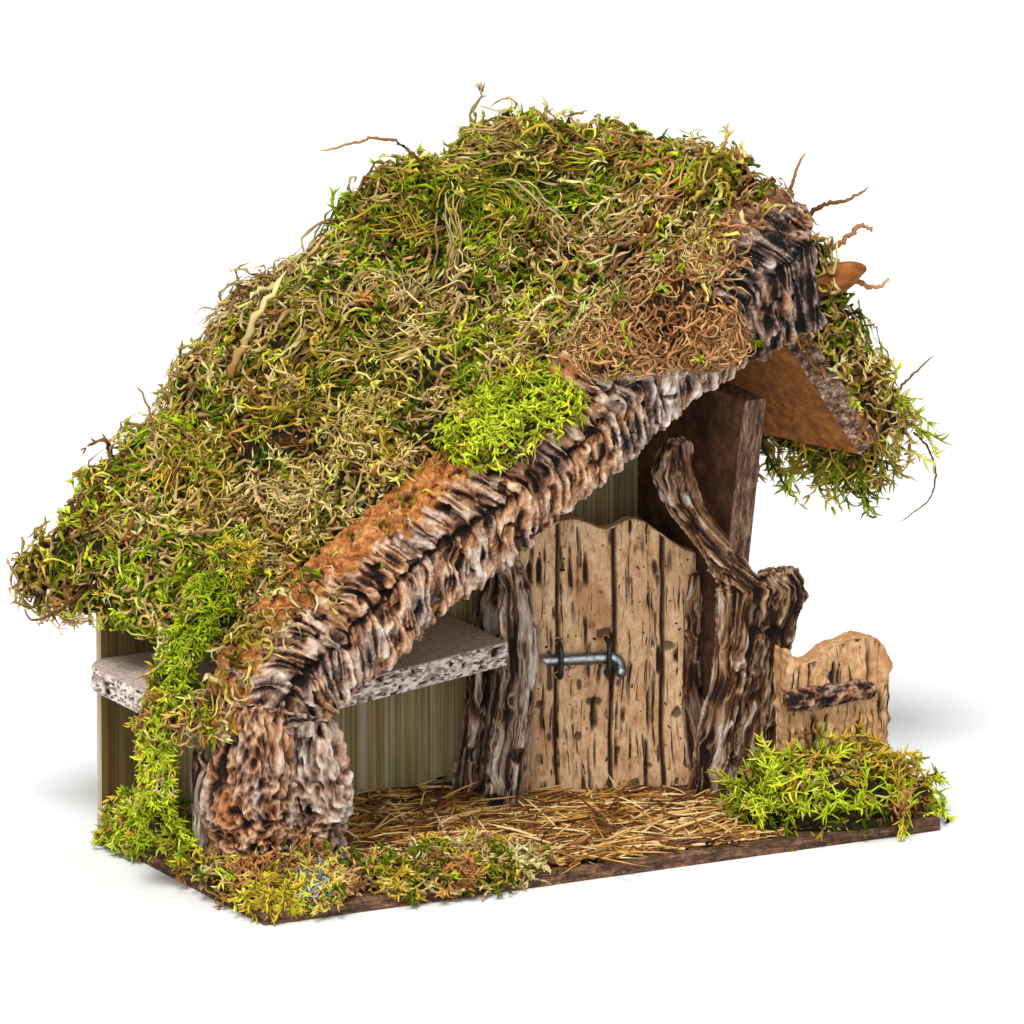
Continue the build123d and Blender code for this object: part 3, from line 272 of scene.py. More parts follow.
class Look:
    """A procedural material, built up from short calls."""

    def __init__(self, name, grained=False):
        self.material = bpy.data.materials.new(name)
        self.material.use_nodes = True
        self.tree = self.material.node_tree
        self.new = self.tree.nodes.new
        if grained:
            self.place = self.read("grain", "Vector")
        else:
            self.place = self.new("ShaderNodeTexCoord").outputs["Object"]

    def feed(self, node, inputs):
        """Links or sets a node's inputs, where a hex code stands for a colour, and gives its outputs."""
        for key, value in inputs.items():
            socket = node.inputs[key]
            if isinstance(value, bpy.types.NodeSocket):
                self.tree.links.new(value, socket)
            elif isinstance(value, str):
                socket.default_value = (*tone(value), 1)
            else:
                socket.default_value = value
        return node.outputs

    def scaled(self, x, y, z):
        """The place with each axis in cells per metre."""
        node = self.new("ShaderNodeVectorMath")
        node.operation = "MULTIPLY"
        return self.feed(node, {0: self.place, 1: (x, y, z)})[0]

    def noise(self, x, y, z, detail=4.0, rough=0.6, warp=0.0):
        sizes = {"Scale": 1.0, "Detail": detail, "Roughness": rough, "Distortion": warp}
        return self.feed(self.new("ShaderNodeTexNoise"), {"Vector": self.scaled(x, y, z), **sizes})["Fac"]

    def flakes(self, x, y, z):
        """Cells of random value."""
        node = self.new("ShaderNodeTexVoronoi")
        return self.feed(node, {"Vector": self.scaled(x, y, z), "Scale": 1.0})["Color"]

    def ramp(self, value, *stops):
        """A colour scale: each stop is a place from 0 to 1 and a hex colour or a grey."""
        node = self.new("ShaderNodeValToRGB")
        elements = node.color_ramp.elements
        while len(elements) < len(stops):
            elements.new(0.5)
        for element, (position, colour) in zip(elements, stops):
            element.position = position
            element.color = (*(tone(colour) if isinstance(colour, str) else [colour] * 3), 1)
        return self.feed(node, {0: value})[0]

    def mask(self, value, low, high, most=1.0):
        """A share that rises from 0 at low to most at high."""
        return self.ramp(value, (low, 0.0), (high, most))

    def mix(self, share, low, high, blend="MIX"):
        node = self.new("ShaderNodeMix")
        node.data_type = "RGBA"
        node.blend_type = blend
        return self.feed(node, {0: share, 6: low, 7: high})[2]

    def reckon(self, operation, first, second=0.0):
        node = self.new("ShaderNodeMath")
        node.operation = operation
        return self.feed(node, {0: first, 1: second})[0]

    def sum(self, first, second):
        return self.reckon("ADD", first, second)

    def times(self, first, second):
        return self.reckon("MULTIPLY", first, second)

    def axis(self, index):
        """One coordinate of the place, in metres."""
        return self.feed(self.new("ShaderNodeSeparateXYZ"), {0: self.place})[index]

    def read(self, name, output="Fac"):
        node = self.new("ShaderNodeAttribute")
        node.attribute_name = name
        return node.outputs[output]

    def facing(self, direction):
        """1 on faces square to a direction, 0 on the board's edges."""
        node = self.new("ShaderNodeVectorMath")
        node.operation = "DOT_PRODUCT"
        normal = self.new("ShaderNodeNewGeometry").outputs["True Normal"]
        square = self.feed(node, {0: normal, 1: direction})["Value"]
        return self.mask(self.reckon("ABSOLUTE", square), 0.6, 0.9)

    def done(self, colour, roughness=0.8, height=None, depth=0.5, metal=0.0, shine=0.3):
        """Sets the shader, with relief of a depth in mm, and gives the material."""
        shader = self.tree.nodes["Principled BSDF"]
        self.feed(shader, {"Base Color": colour, "Roughness": roughness})
        self.feed(shader, {"Metallic": metal, "Specular IOR Level": shine})
        if height is not None:
            bump = self.feed(self.new("ShaderNodeBump"), {"Distance": depth * MM, "Height": height})
            self.feed(shader, {"Normal": bump[0]})
        return self.material


def wear(piece, material):
    piece.data.materials.clear()
    piece.data.materials.append(material)


def stand_for(piece, material, slot, *nodes):
    """A dressed piece wears a material, rides on the stable and replaces its CAD nodes; the slot argument is
    not used.
    """
    wear(piece, material)
    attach(piece, BODY)
    if nodes:
        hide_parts(*nodes)


# Boards
def hardboard_look():
    look = Look("hardboard")
    streaks = look.noise(90, 90, 700, 5, 0.7)
    mottle = look.noise(260, 260, 420, 5, 0.75)
    shade = look.times(streaks, mottle)
    colour = look.ramp(shade, (0.14, "24150c"), (0.25, "5f4330"), (0.36, "9c7454"), (0.5, "d6ad88"))
    return look.done(colour, 0.85, look.sum(mottle, streaks), 1.2)


def plywood_look():
    """Stained plywood with fine upright streaks, darker at its left end, and one pale streak."""
    look = Look("plywood")
    fine = look.noise(900, 900, 7, 6, 0.7, 0.3)
    bands = look.noise(120, 120, 5, 4)
    stain = look.noise(16, 16, 9, 3)
    aged = look.ramp(fine, (0.32, "736846"), (0.5, "b8ac82"), (0.68, "e6dcb8"))
    warm = look.ramp(fine, (0.32, "72592e"), (0.5, "b49a62"), (0.68, "deca9a"))
    colour = look.mix(look.mask(bands, 0.35, 0.65), aged, warm)
    colour = look.mix(look.ramp(stain, (0.36, 0.4), (0.56, 0.0)), colour, "5c5024")
    x = look.axis(0)
    waver = look.times(look.sum(look.noise(20, 20, 40, 3), -0.5), 0.004)
    gap = look.reckon("SUBTRACT", look.sum(x, waver), PALE_STREAK_X * MM)
    streak = look.ramp(look.times(look.reckon("ABSOLUTE", gap), 100.0), (0.06, 0.6), (0.2, 0.0))
    colour = look.mix(streak, colour, "d9dccf")
    left = look.ramp(look.times(look.sum(x, -DARK_END_X * MM), 20.0), (0.0, 0.9), (0.4, 0.0))
    colour = look.mix(left, colour, look.mix(1.0, colour, "8f7c4c", "MULTIPLY"))
    raw = look.ramp(look.noise(30, 900, 30, 3), (0.35, "a5987a"), (0.65, "d8ccb0"))
    colour = look.mix(look.facing((0, 1, 0)), raw, colour)
    return look.done(colour, 0.7, fine, 0.4)


def wall_look():
    look = Look("wall_board")
    fibre = look.noise(160, 160, 160, 6, 0.7)
    flakes = look.noise(60, 60, 60, 3)
    face = look.ramp(look.times(fibre, flakes), (0.12, "3a2413"), (0.26, "62432a"), (0.42, "8d6849"))
    streak = look.noise(600, 600, 40, 6, 0.75, 0.4)
    edge = look.ramp(streak, (0.34, "24120a"), (0.47, "5c4030"), (0.6, "94765f"), (0.74, "d2bcaa"))
    colour = look.mix(look.facing((1, 0, 0)), edge, face)
    return look.done(colour, 0.85, look.sum(streak, fibre), 0.9)


def roof_board_look(name, pitch, side):
    across = math.cos(RIDGE_SKEW) * side, math.sin(RIDGE_SKEW) * side
    normal = (across[0] * math.sin(pitch), across[1] * math.sin(pitch), math.cos(pitch))
    look = Look(name)
    fibre = look.noise(230, 230, 230, 5, 0.7)
    clouds = look.noise(26, 26, 26, 3)
    face = look.ramp(fibre, (0.3, "6a3a12"), (0.5, "9c602a"), (0.7, "c48a4c"))
    face = look.mix(look.ramp(clouds, (0.4, 0.45), (0.6, 0.0)), face, "70451f")
    flakes = look.noise(300, 300, 420, 5, 0.7)
    edge = look.ramp(flakes, (0.36, "24140a"), (0.5, "664a38"), (0.64, "b09682"), (0.76, "dccbbb"))
    colour = look.mix(look.facing(normal), edge, face)
    return look.done(colour, 0.85, flakes, 0.6)


def loft_look():
    look = Look("loft_board")
    fibre = look.noise(500, 900, 500, 6, 0.75)
    scratch = look.noise(1400, 240, 600, 3, 0.6, 1.2)
    top = look.ramp(fibre, (0.3, "857062"), (0.5, "cdbaac"), (0.68, "f2e4d8"))
    top = look.mix(look.mask(scratch, 0.6, 0.72, 0.85), top, "dccfc4")
    dust = look.times(look.noise(700, 700, 1400, 4, 0.75), 0.5)
    chips = look.sum(look.times(look.flakes(420, 420, 950), 0.55), dust)
    edge = look.ramp(chips, (0.3, "3a2418"), (0.4, "a48a7a"), (0.52, "e6d6ca"), (0.72, "fcf4ee"))
    # Painted shade: the pits on the edges are painted near black, for the shade inside them.
    edge = look.mix(look.read("pit"), edge, "2c1608")
    colour = look.mix(look.facing((0, 0, 1)), edge, top)
    return look.done(colour, 0.85, look.sum(chips, fibre), 0.5)


def chipped_loft():
    """The loft shelf with broken chips and pits along its raw edges."""
    piece, points, normals = dense_copy("loft_shelf", ["loft_board"], 0.9, 0)
    edge = step(1 - np.abs(normals[:, 2]), 0.25, 0.8)
    pit = step(noise(points / (3.4, 3.4, 1.7), 11), 0.2, 0.55)
    flake = layered(points / (5, 5, 2.4), 3, 12)
    depth = edge * (0.45 * flake - 1.5 * pit)
    rough = 0.12 * noise(points / 1.6, 13)
    move_to(piece, raised(points, normals, depth + rough))
    mark(piece, pit=pit * edge)
    stand_for(piece, loft_look(), "chipboard", "loft_board")


def steel_look(name, dark, light, roughness):
    look = Look(name)
    scuffs = look.noise(500, 500, 900, 5, 0.7)
    colour = look.ramp(scuffs, (0.35, dark), (0.65, light))
    rough = look.ramp(scuffs, (0.3, roughness + 0.12), (0.7, roughness - 0.08))
    return look.done(colour, rough, look.noise(900, 900, 900, 3), 0.06, metal=1.0, shine=0.5)


def wire_look():
    look = Look("black_wire")
    scuffs = look.noise(700, 700, 700, 4)
    colour = look.ramp(scuffs, (0.4, "141414"), (0.7, "35312d"))
    return look.done(colour, 0.45, scuffs, 0.08, shine=0.5)


def dress_boards():
    pins = steel_look("pin_steel", "6d6d6b", "a3a29e", 0.45)
    wire = wire_look()
    materials = {
        "base_board": hardboard_look(),
        "back_wall": plywood_look(),
        "right_wall": wall_look(),
        "roof_board_left": roof_board_look("roof_board_left", LEFT_PITCH, -1),
        "roof_board_right": roof_board_look("roof_board_right", RIGHT_PITCH, 1),
        "back_wall_pins": pins,
        "ridge_pins": pins,
        "bolt": steel_look("bolt_steel", "666c70", "aeb4b8", 0.36),
        "staple_left": wire,
        "staple_right": wire,
    }
    for node, material in materials.items():
        wear(frame["nodes"][node], material)
    chipped_loft()


# Cork bark
def bark_look(name, darker, warm_share):
    """Cork bark from dark hollows, painted shade, to pale crests, partly painted light; grey or warm by
    patches, and orange inner cork.
    """
    look = Look(name, grained=True)
    crumbs = look.noise(700, 500, 500, 5, 0.75)
    patches = look.noise(60, 60, 60, 3)
    # The crest mark from the relief paints shade in the hollows and light on the crests.
    lights = look.sum(look.read("crest"), look.times(look.sum(crumbs, -0.5 - darker), 0.9))
    stops = (0.18, 0.36, 0.54, 0.72, 0.9)
    plain = look.ramp(lights, *zip(stops, ("150b06", "54433a", "9a8172", "cdb8a8", "f0e4da")))
    warm = look.ramp(lights, *zip(stops, ("1b0c04", "6b4026", "b07e58", "dcb28c", "f6e0c8")))
    cooled = 0.3 * warm_share
    colour = look.mix(look.mask(patches, 0.58 - cooled, 0.76 - cooled), plain, warm)
    grit = look.noise(280, 280, 280, 6, 0.8)
    cork = look.ramp(grit, (0.34, "3c1a08"), (0.42, "8f4c1d"), (0.53, "c67d3d"), (0.68, "efbd82"))
    colour = look.mix(look.read("rim"), colour, cork)
    return look.done(colour, 0.88, look.sum(crumbs, grit), 0.9)


def arch_place(points):
    """Distance along the arch, offset across it towards the roof, and height above its flat back."""
    x = points[:, 0] - ARCH_FOOT[0]
    z = points[:, 2] - ARCH_FOOT[1]
    turn = np.arctan2(z, ARCH_BEND_RADIUS - x)
    end_x = ARCH_BEND_RADIUS * (1 - math.cos(ARCH_TURN))
    end_z = ARCH_BEND_RADIUS * math.sin(ARCH_TURN)
    run = (x - end_x) * math.cos(ARCH_RISE) + (z - end_z) * math.sin(ARCH_RISE)
    rise = (z - end_z) * math.cos(ARCH_RISE) - (x - end_x) * math.sin(ARCH_RISE)
    straight = run > 0
    bent = ARCH_BEND_RADIUS * np.clip(turn, -1, ARCH_TURN)
    along = np.where(straight, ARCH_BEND_RADIUS * ARCH_TURN + run, bent)
    out = np.where(straight, rise, np.hypot(ARCH_BEND_RADIUS - x, z) - ARCH_BEND_RADIUS)
    return along, out, ROOF_FRONT - points[:, 1]


def on_line(along):
    """Points on one line, for noise that changes along it alone."""
    return columns(along, along * 0, along * 0)


def bark_arch(name, node, darker, warm_share, cork_share):
    """A length of the arch: crinkled blades of bark across it, a long fissure, and cork on its roof side."""
    piece, points, normals = dense_copy(name, [node], 0.64, 10)
    along, out, forward = arch_place(points)
    place = columns(along, out, forward)
    line = 4.0 * noise(on_line(along) / 45, 26) + 1.0
    lean = along + 0.4 * np.abs(out - line) + 1.8 * noise(place / (12, 10, 10), 21)
    leaning = columns(lean, out, forward)
    blades = crests(leaning / (1.6, 13, 13), 1, 22)
    courses = crests(leaning / (4.2, 12, 12), 2, 27)
    lumps = noise(place / (16, 12, 12), 24)
    bumps = noise(points / 5.0, 29)
    fine = layered(points / 1.5, 2, 25)
    broken = step(noise(on_line(along) / 22, 28), -0.35, 0.2)
    fissure = np.exp(-((out - line + 1.2 * fine) / 1.3) ** 2) * step(forward, 8, 15) * broken
    pits = step(noise(points / 3.4, 30), 0.5, 0.72)
    edge = CORK_EDGE + 3.5 * noise(on_line(along) / 12, 31) + 2.0 * fine
    rim = step(out, edge - 1.5, edge + 2) * step(normals[:, 2], 0.0, 0.4)
    front = (1 - 0.75 * rim) * step(forward, 0.5, 5)
    relief = 1.7 * (blades - 0.6) + 2.0 * (courses - 0.55) + 1.8 * lumps + 0.6 * bumps + 0.35 * fine
    relief = relief - 2.4 * fissure - 1.6 * pits
    relief = relief - 7.0 * (1 - step(along, 0, 22))
    cork = rim * (0.8 * fine + 1.5 * bumps - 1.2 * pits)
    move_to(piece, raised(points, normals, front * relief + cork))
    # Colour by relief: fissures and pits are painted dark as painted shade, blades and courses pale, partly
    # as painted light.
    crest = 0.02 + 0.5 * blades + 0.3 * courses + 0.1 * bumps + 0.08 * fine - 0.5 * fissure - 0.4 * pits
    mark(piece, crest=np.clip(crest, 0, 1), rim=cork_share * rim * (1 - 0.6 * pits))
    grain(piece, lean, out, forward)
    stand_for(piece, bark_look(name, darker, warm_share), "cork_bark", node)


def bark_knob(name, node, seed, rim_share, darker, warm_share, rise=0.0, amount=1.0):
    """A knobbly trunk lobe or scrap of bark, whose top may run up into the piece above it."""
    piece, points, normals = dense_copy(name, [node], 0.6, 5)
    height = points[:, 2]
    top = height.max()
    swirled = points + 3.5 * wander(points / 12, seed + 6)
    knobs = crests(swirled / (5, 5, 4), 2, seed + 1)
    folds = crests(swirled / (2.4, 2.4, 2.2), 1, seed + 2)
    lumps = noise(points / 11, seed + 5)
    fine = layered(points / 1.5, 2, seed + 3)
    holes = step(noise(points / 4.0, seed + 9), 0.4, 0.62)
    depth = 2.4 * (knobs - 0.55) + 1.3 * (folds - 0.55) + 2.0 * lumps + 0.4 * fine - 2.8 * holes
    moved = raised(points, normals, amount * depth)
    neck = NECK_SHARE * step(height, top - 32, top - 4) * (rise > 0)
    moved[:, :2] += neck[:, None] * (np.array(ARCH_NECK) - moved[:, :2])
    moved[:, 2] += rise * step(height, top - 34, top - 1)
    moved[:, 2] = np.maximum(moved[:, 2], height.min())
    move_to(piece, moved)
    # Colour by relief: holes are painted dark as painted shade, folds and knobs pale, partly as painted
    # light.
    light = 0.12 + 0.36 * folds + 0.3 * knobs + 0.12 * fine + 0.08 * lumps - 0.5 * holes
    rim = step(noise(points / 18, seed + 4), 0.6 - 1.2 * rim_share, 1.0 - 1.2 * rim_share) * (1 - holes)
    mark(piece, crest=np.clip(light, 0, 1), rim=0.8 * rim * (0.3 + 0.7 * folds))
    grain(piece, *swirled.T)
    stand_for(piece, bark_look(name, darker, warm_share), "cork_bark", node)


def dress_bark():
    bark_arch("cork_arch_lower_bark", "cork_arch_lower", -0.06, 0.7, 1.0)
    bark_arch("cork_arch_upper_bark", "cork_arch_upper", -0.08, 0.4, 0.6)
    bark_arch("cork_ridge_end_bark", "cork_ridge_end", 0.08, 0.3, 0.35)
    bark_knob("trunk_left_bark", "cork_trunk", 40, 0.3, -0.03, 0.8, 16)
    bark_knob("trunk_right_bark", "cork_trunk_side", 50, 0.12, -0.1, 0.35, 16)
    bark_knob("wall_scrap_bark", "bark_scrap", 60, 0.2, 0.05, 0.6)
    bark_knob("rail_bark", "garden_rail", 70, 0.0, 0.16, 0.5, amount=0.45)


# Driftwood
def driftwood_look(name, dark, body, pale):
    look = Look(name, grained=True)
    fine = look.noise(1300, 1300, 55, 6, 0.75, 0.3)
    relief = look.sum(look.read("crest"), look.times(look.sum(fine, -0.5), 1.1))
    colour = look.ramp(relief, (0.14, dark), (0.34, body), (0.58, pale), (0.82, "ece2d8"))
    warm = look.ramp(relief, (0.14, dark), (0.36, "7a4f2a"), (0.6, "b98a58"), (0.85, "ead0ac"))
    colour = look.mix(look.mask(look.noise(60, 60, 20, 3), 0.45, 0.6, 0.7), colour, warm)
    return look.done(colour, 0.8, fine, 1.0)


def driftwood(name, nodes, seed, dark="1a0c05", body="654b38", pale="b5a291", strength=1.0):
    """A weathered limb whose grain runs in cords and cracks along it."""
    piece, points, normals = dense_copy(name, nodes, 0.65, 4)
    z = points[:, 2]
    levels = np.linspace(z.min(), z.max(), 13)
    middles = [points[np.abs(z - level) < 6].mean(axis=0) for level in levels]
    lean_x = np.interp(z, levels, [m[0] for m in middles])
    lean_y = np.interp(z, levels, [m[1] for m in middles])
    warp = 2.2 * noise(points / 13, seed) + 0.9 * noise(points / 5, seed + 5)
    local = columns(points[:, 0] - lean_x + warp, points[:, 1] - lean_y - warp, z)
    cords = crests(local / (4.6, 4.6, 60), 2, seed + 1) ** 1.3
    lines = crests(local / (1.5, 1.5, 24), 2, seed + 2)
    cracks = step(noise(local / (1.8, 1.8, 22), seed + 7), 0.3, 0.5)
    swell = noise(points / (14, 14, 26), seed + 3)
    knots = step(noise(points / 9, seed + 4), 0.5, 0.75)
    depth = 1.8 * (cords - 0.55) + 0.9 * (lines - 0.5) + 1.1 * swell - 2.2 * knots - 1.0 * cracks
    move_to(piece, raised(points, normals, strength * depth))
    # Colour by relief: knots and cracks are painted dark as painted shade, cords and lines pale, partly as
    # painted light.
    crest = 0.42 + 0.3 * (cords - 0.5) + 0.45 * (lines - 0.5) - 0.35 * knots - 0.3 * cracks + 0.12 * swell
    mark(piece, crest=np.clip(crest, 0, 1))
    grain(piece, *local.T)
    stand_for(piece, driftwood_look(name, dark, body, pale), "driftwood", *nodes)


def dress_driftwood():
    driftwood("front_post_wood", ["door_post_front"], 100)
    driftwood("rear_post_wood", ["door_post_rear"], 110)
    driftwood("post_strand_wood", ["door_post_strand"], 120, strength=0.5)
    root = dict(dark="1c0c04", body="5e3e26", pale="b29274")
    driftwood("root_wood", ["root_branch", "root_stub"], 130, **root)
    driftwood("root_strand_wood", ["root_strand"], 150, strength=0.7, **root)
    driftwood("stem_wood", ["trunk_stem"], 160, strength=0.5)


# Cut cork planks and the stone chip
def plank_look(name, light="edc79c", body="d3a578"):
    look = Look(name, grained=True)
    fine = look.noise(420, 420, 170, 5, 0.7, 0.3)
    patches = look.noise(45, 45, 26, 4)
    streaks = look.noise(560, 40, 30, 3, 0.55, 0.5)
    where = look.noise(150, 100, 70, 3)
    pores = look.noise(620, 300, 420, 2, 0.4)
    colour = look.ramp(fine, (0.25, "97663e"), (0.4, body), (0.56, light), (0.78, "f4dcb8"))
    colour = look.mix(look.mask(patches, 0.48, 0.66, 0.6), colour, "a96f3e")
    slits = look.mask(streaks, 0.56, 0.64)
    slits = look.times(slits, look.mask(where, 0.44, 0.54))
    marks = look.reckon("MAXIMUM", slits, look.mask(pores, 0.69, 0.74))
    marks = look.reckon("MAXIMUM", marks, look.read("slit"))
    marks = look.times(marks, look.read("face"))
    # Painted shade: slits, pores and grooves are painted near black, for the shade in these hollows.
    colour = look.mix(marks, colour, "2b1407")
    return look.done(colour, 0.85, look.reckon("SUBTRACT", look.times(fine, 0.4), marks), 1.0)


def cork_plank(name, node, turn, seed, wave, crumble, grooves=(), **colours):
    """A slab of cut cork with long slits along the grain, pores, and grooves at given places across it."""
    piece, points, normals = dense_copy(name, [node], 0.62, 1)
    across = points[:, 0] * math.cos(turn) - points[:, 1] * math.sin(turn)
    outward = -points[:, 1] * math.cos(turn) - points[:, 0] * math.sin(turn)
    z = points[:, 2]
    face = columns(across, z, z * 0)
    front = step(-normals[:, 1] * math.cos(turn) - normals[:, 0] * math.sin(turn), 0.2, 0.7)
    drift = 1.3 * noise(face / (22, 34, 1), seed) + 0.4 * noise(face / (4, 9, 1), seed + 6)
    drifted = columns(across + drift, z, z * 0)
    slits = step(noise(drifted / (1.6, 19, 1), seed + 1), 0.5, 0.7)
    keep = step(noise(face / (7, 14, 1), seed + 2), -0.35, 0.2)
    torn = step(noise(face / (4, 7, 1), seed + 7), 0.7, 0.82)
    hollow = np.clip(slits * keep + 0.8 * torn, 0, 1)
    middle = (across.min() + across.max()) / 2
    for place in grooves:
        gap = np.abs(across + 0.8 * drift - middle - place)
        hollow = np.maximum(hollow, 1 - step(gap, 0.5, 1.1))
    hollow = hollow * front
    folds = noise(drifted / (7, 60, 1), seed + 4)
    rough = layered(points / 3, 2, seed + 5)
    move_to(piece, raised(points, normals, wave * folds + crumble * rough - 1.4 * hollow))
    mark(piece, slit=hollow, face=front)
    grain(piece, across + drift, outward, z)
    stand_for(piece, plank_look(name, **colours), "cork_light", node)


def slate():
    piece, points, normals = dense_copy("slate_stone", ["slate_chip"], 0.7, 1)
    split = layered(points / (7, 7, 1.6), 3, 210)
    move_to(piece, raised(points, normals, 0.6 * split))
    look = Look("slate")
    flecks = look.noise(300, 300, 900, 5)
    colour = look.ramp(flecks, (0.3, "3f464d"), (0.55, "737b82"), (0.75, "a4abb0"))
    stand_for(piece, look.done(colour, 0.55, flecks, 0.4), "slate", "slate_chip")


def dress_planks():
    cork_plank("plank_door", "door", DOOR_TURN, 180, 0.25, 0.22, DOOR_GROOVES)
    cork_plank("garden_wall_cork", "garden_wall", 0.0, 190, 1.2, 0.8, light="d0a678", body="b2845a")
    slate()


# Moss and straw: colours at a strand's root and tip, the darker roots partly painted shade, and mixes of them
# by weight
MOSS_TONES = {
    "bright": ("84980a", "dcec3c"),
    "fresh": ("526808", "acc024"),
    "deep": ("283404", "728214"),
    "olive": ("6a5a0e", "dabc40"),
    "yellow": ("a47c18", "ffe070"),
    "tan": ("9c6a2a", "ffd890"),
    "brown": ("4a280a", "c48a4e"),
    "rust": ("8a4a1c", "f2b478"),
    "lichen": ("b0b012", "f2f648"),
    "frost": ("5d6c6a", "b9c6c8"),
    "straw": ("a87632", "f6d694"),
}
STRAW_TONES = ("8a5a20", "bd8538", "dcb066", "f0d294", "5c3410")
CURL_TONES = ("8a6a2a", "d8b068", "f0d294", "7c7a1a", "a8a030")
POD_TONES = ("4e260c", "b4703a")
DRY_MIX = dict(tan=2.2, yellow=1.3, olive=1.2, brown=1.0, fresh=0.35, rust=0.35)
GREEN_MIX = dict(bright=0.6, lichen=0.02, fresh=1.1, deep=1.0, olive=1.3, yellow=0.9, tan=1.2, brown=0.3)
LUSH_MIX = dict(bright=1.2, fresh=1.2, deep=0.8, olive=1.2, yellow=0.9, tan=1.0, brown=0.4)
BASE_MIX = dict(olive=1.3, yellow=1.1, bright=0.4, fresh=0.7, tan=1.5, deep=0.7, brown=0.8, rust=0.15,
                lichen=0.15, frost=0.05)
LOCK_MIX = dict(tan=2.0, yellow=1.0, olive=1.2, brown=0.8, fresh=0.9, deep=0.5, rust=0.3)
SPRIG_MIX = dict(tan=2.0, brown=0.8, yellow=0.8, olive=0.8, fresh=0.6)
RIGHT_SPRIG_MIX = dict(tan=2.0, brown=1.0, rust=0.6)
TUFT_MIX = dict(bright=3.0, fresh=1.4, olive=0.4)
DRAPE_MIX = dict(tan=2.4, rust=2.2, brown=0.6, yellow=0.3)
CHAFF_MIX = dict(straw=1.6, brown=1.6, tan=0.8, olive=1.0, fresh=0.6, deep=0.4)

# Kinds of strand: lengths and widths in mm, then how it grows
FIBRE = dict(length=(12, 32), width=(1.1, 2.1), curl=0.6, hug=0.4, sag=0.02, lift=0.35, leafy=0.3, segments=9)
SHOOT = dict(length=(8, 20), width=(1.5, 2.7), curl=0.5, hug=0.25, sag=0.02, lift=0.5, leafy=0.55, segments=8)
CRUST = dict(length=(4, 9), width=(1.8, 3.2), curl=0.9, hug=0.0, sag=0.0, lift=0.9, leafy=0.5, segments=5)
FROND = dict(length=(8, 18), width=(1.0, 1.6), curl=0.28, hug=0.1, sag=0.03, lift=0.8, leafy=0.3, segments=6,
             branches=7)
FERN = dict(FROND, length=(14, 28), width=(1.1, 1.7), curl=0.22, sag=0.04, lift=1.0, segments=8, branches=13,
            reach=(3.0, 7.0), stand=16.0)
SPRIG = dict(FROND, length=(16, 32), width=(1.6, 2.6), curl=0.35, hug=0.15, lift=0.6, leafy=0.35, segments=8,
             branches=9, stand=17.0)
TRAILER = dict(length=(8, 17), width=(1.4, 2.4), curl=0.4, hug=0.0, sag=0.22, lift=0.7, leafy=0.4, segments=7,
               branches=6, stand=14.0)
TUFT = dict(FROND, lift=0.5)
ARCH_TUFT = dict(FROND, length=(10, 22), curl=0.45, stand=7.0)
ARCH_FIBRE = dict(FIBRE, length=(8, 16), stand=5.0)
DRAPE = dict(FIBRE, length=(10, 24), sag=0.16, width=(0.9, 1.8), stand=7.0)
HANGING = dict(FERN, sag=0.24, length=(18, 40), stand=34.0)
DRY_HANGING = dict(HANGING, curl=0.5, branches=3)
CORNER_FIBRE = dict(FIBRE, sag=0.2)
CORNER_FROND = dict(FROND, sag=0.15)
SIDE_FROND = dict(FROND, sag=0.1, length=(6, 14), stand=6.0)
SIDE_FIBRE = dict(FIBRE, sag=0.1, length=(8, 20), stand=6.0)
LOW_FIBRE = dict(FIBRE, length=(6, 15))
LOW_FROND = dict(FROND, length=(6, 15))

# How far strands stand off their clump, the sizes of locks and clumps, and the swirl on the roof
STAND = 10.0
LOCK_STAND = 4.0
LOCK_SIZE = 15.0
LOCK_LENGTH = (18.0, 38.0)
CLUMP_SIZE = 9.0
CLUMP_SEED = 77
TOUCHING = 0.5
TWIG_REACH = (2.5, 5.0)
SWIRL_ALONG = (0.88, -0.47, 0.0)
SWIRL_COUNT = 46
SWIRL_RADIUS = 18
BODIES = {}


def strand_look(name, roughness, shine):
    look = Look(name)
    fine = look.noise(900, 900, 900, 3)
    shade = look.mix(1.0, look.read("tint", "Color"), look.ramp(fine, (0.3, 0.88), (0.7, 1.0)), "MULTIPLY")
    return look.done(shade, roughness, shine=shine)


def mat_look():
    look = Look("moss_mat")
    tangled = look.noise(300, 300, 300, 5, 0.75, 1.5)
    patches = look.noise(30, 30, 30, 3)
    # The mat is kept near black, partly the clump's own dark body and partly painted shade in the gaps
    # between strands.
    green = look.ramp(tangled, (0.3, "080601"), (0.5, "1a1804"), (0.7, "403e10"))
    dead_and_shaded = look.ramp(tangled, (0.3, "0c0601"), (0.5, "2a1a06"), (0.7, "60441c"))
    colour = look.mix(look.mask(patches, 0.4, 0.56), green, dead_and_shaded)
    return look.done(colour, 0.95, tangled, 2.0)


def moss_mat(name, node, voxel, shrink, swell, seed, hangs=False):
    """The tangled body of a clump, a little inside its CAD solid but still on what carries it."""
    piece, points, normals = dense_copy(name, [node], voxel, 3)
    lumps = noise(points / 13, seed) + 0.6 * noise(points / 6, seed + 1)
    top = points[:, 2].max()
    free = step(top - points[:, 2], 3, 14) if hangs else step(normals[:, 2], -0.5, 0.0)
    moved = raised(points, normals, free * (swell * lumps - shrink))
    if hangs:
        moved[:, 2] = top - 0.7 * (top - moved[:, 2])
    moved[:, 2] = np.maximum(moved[:, 2], BASE_TOP - 2)
    move_to(piece, moved)
    stand_for(piece, MAT, "moss", node)
    return piece


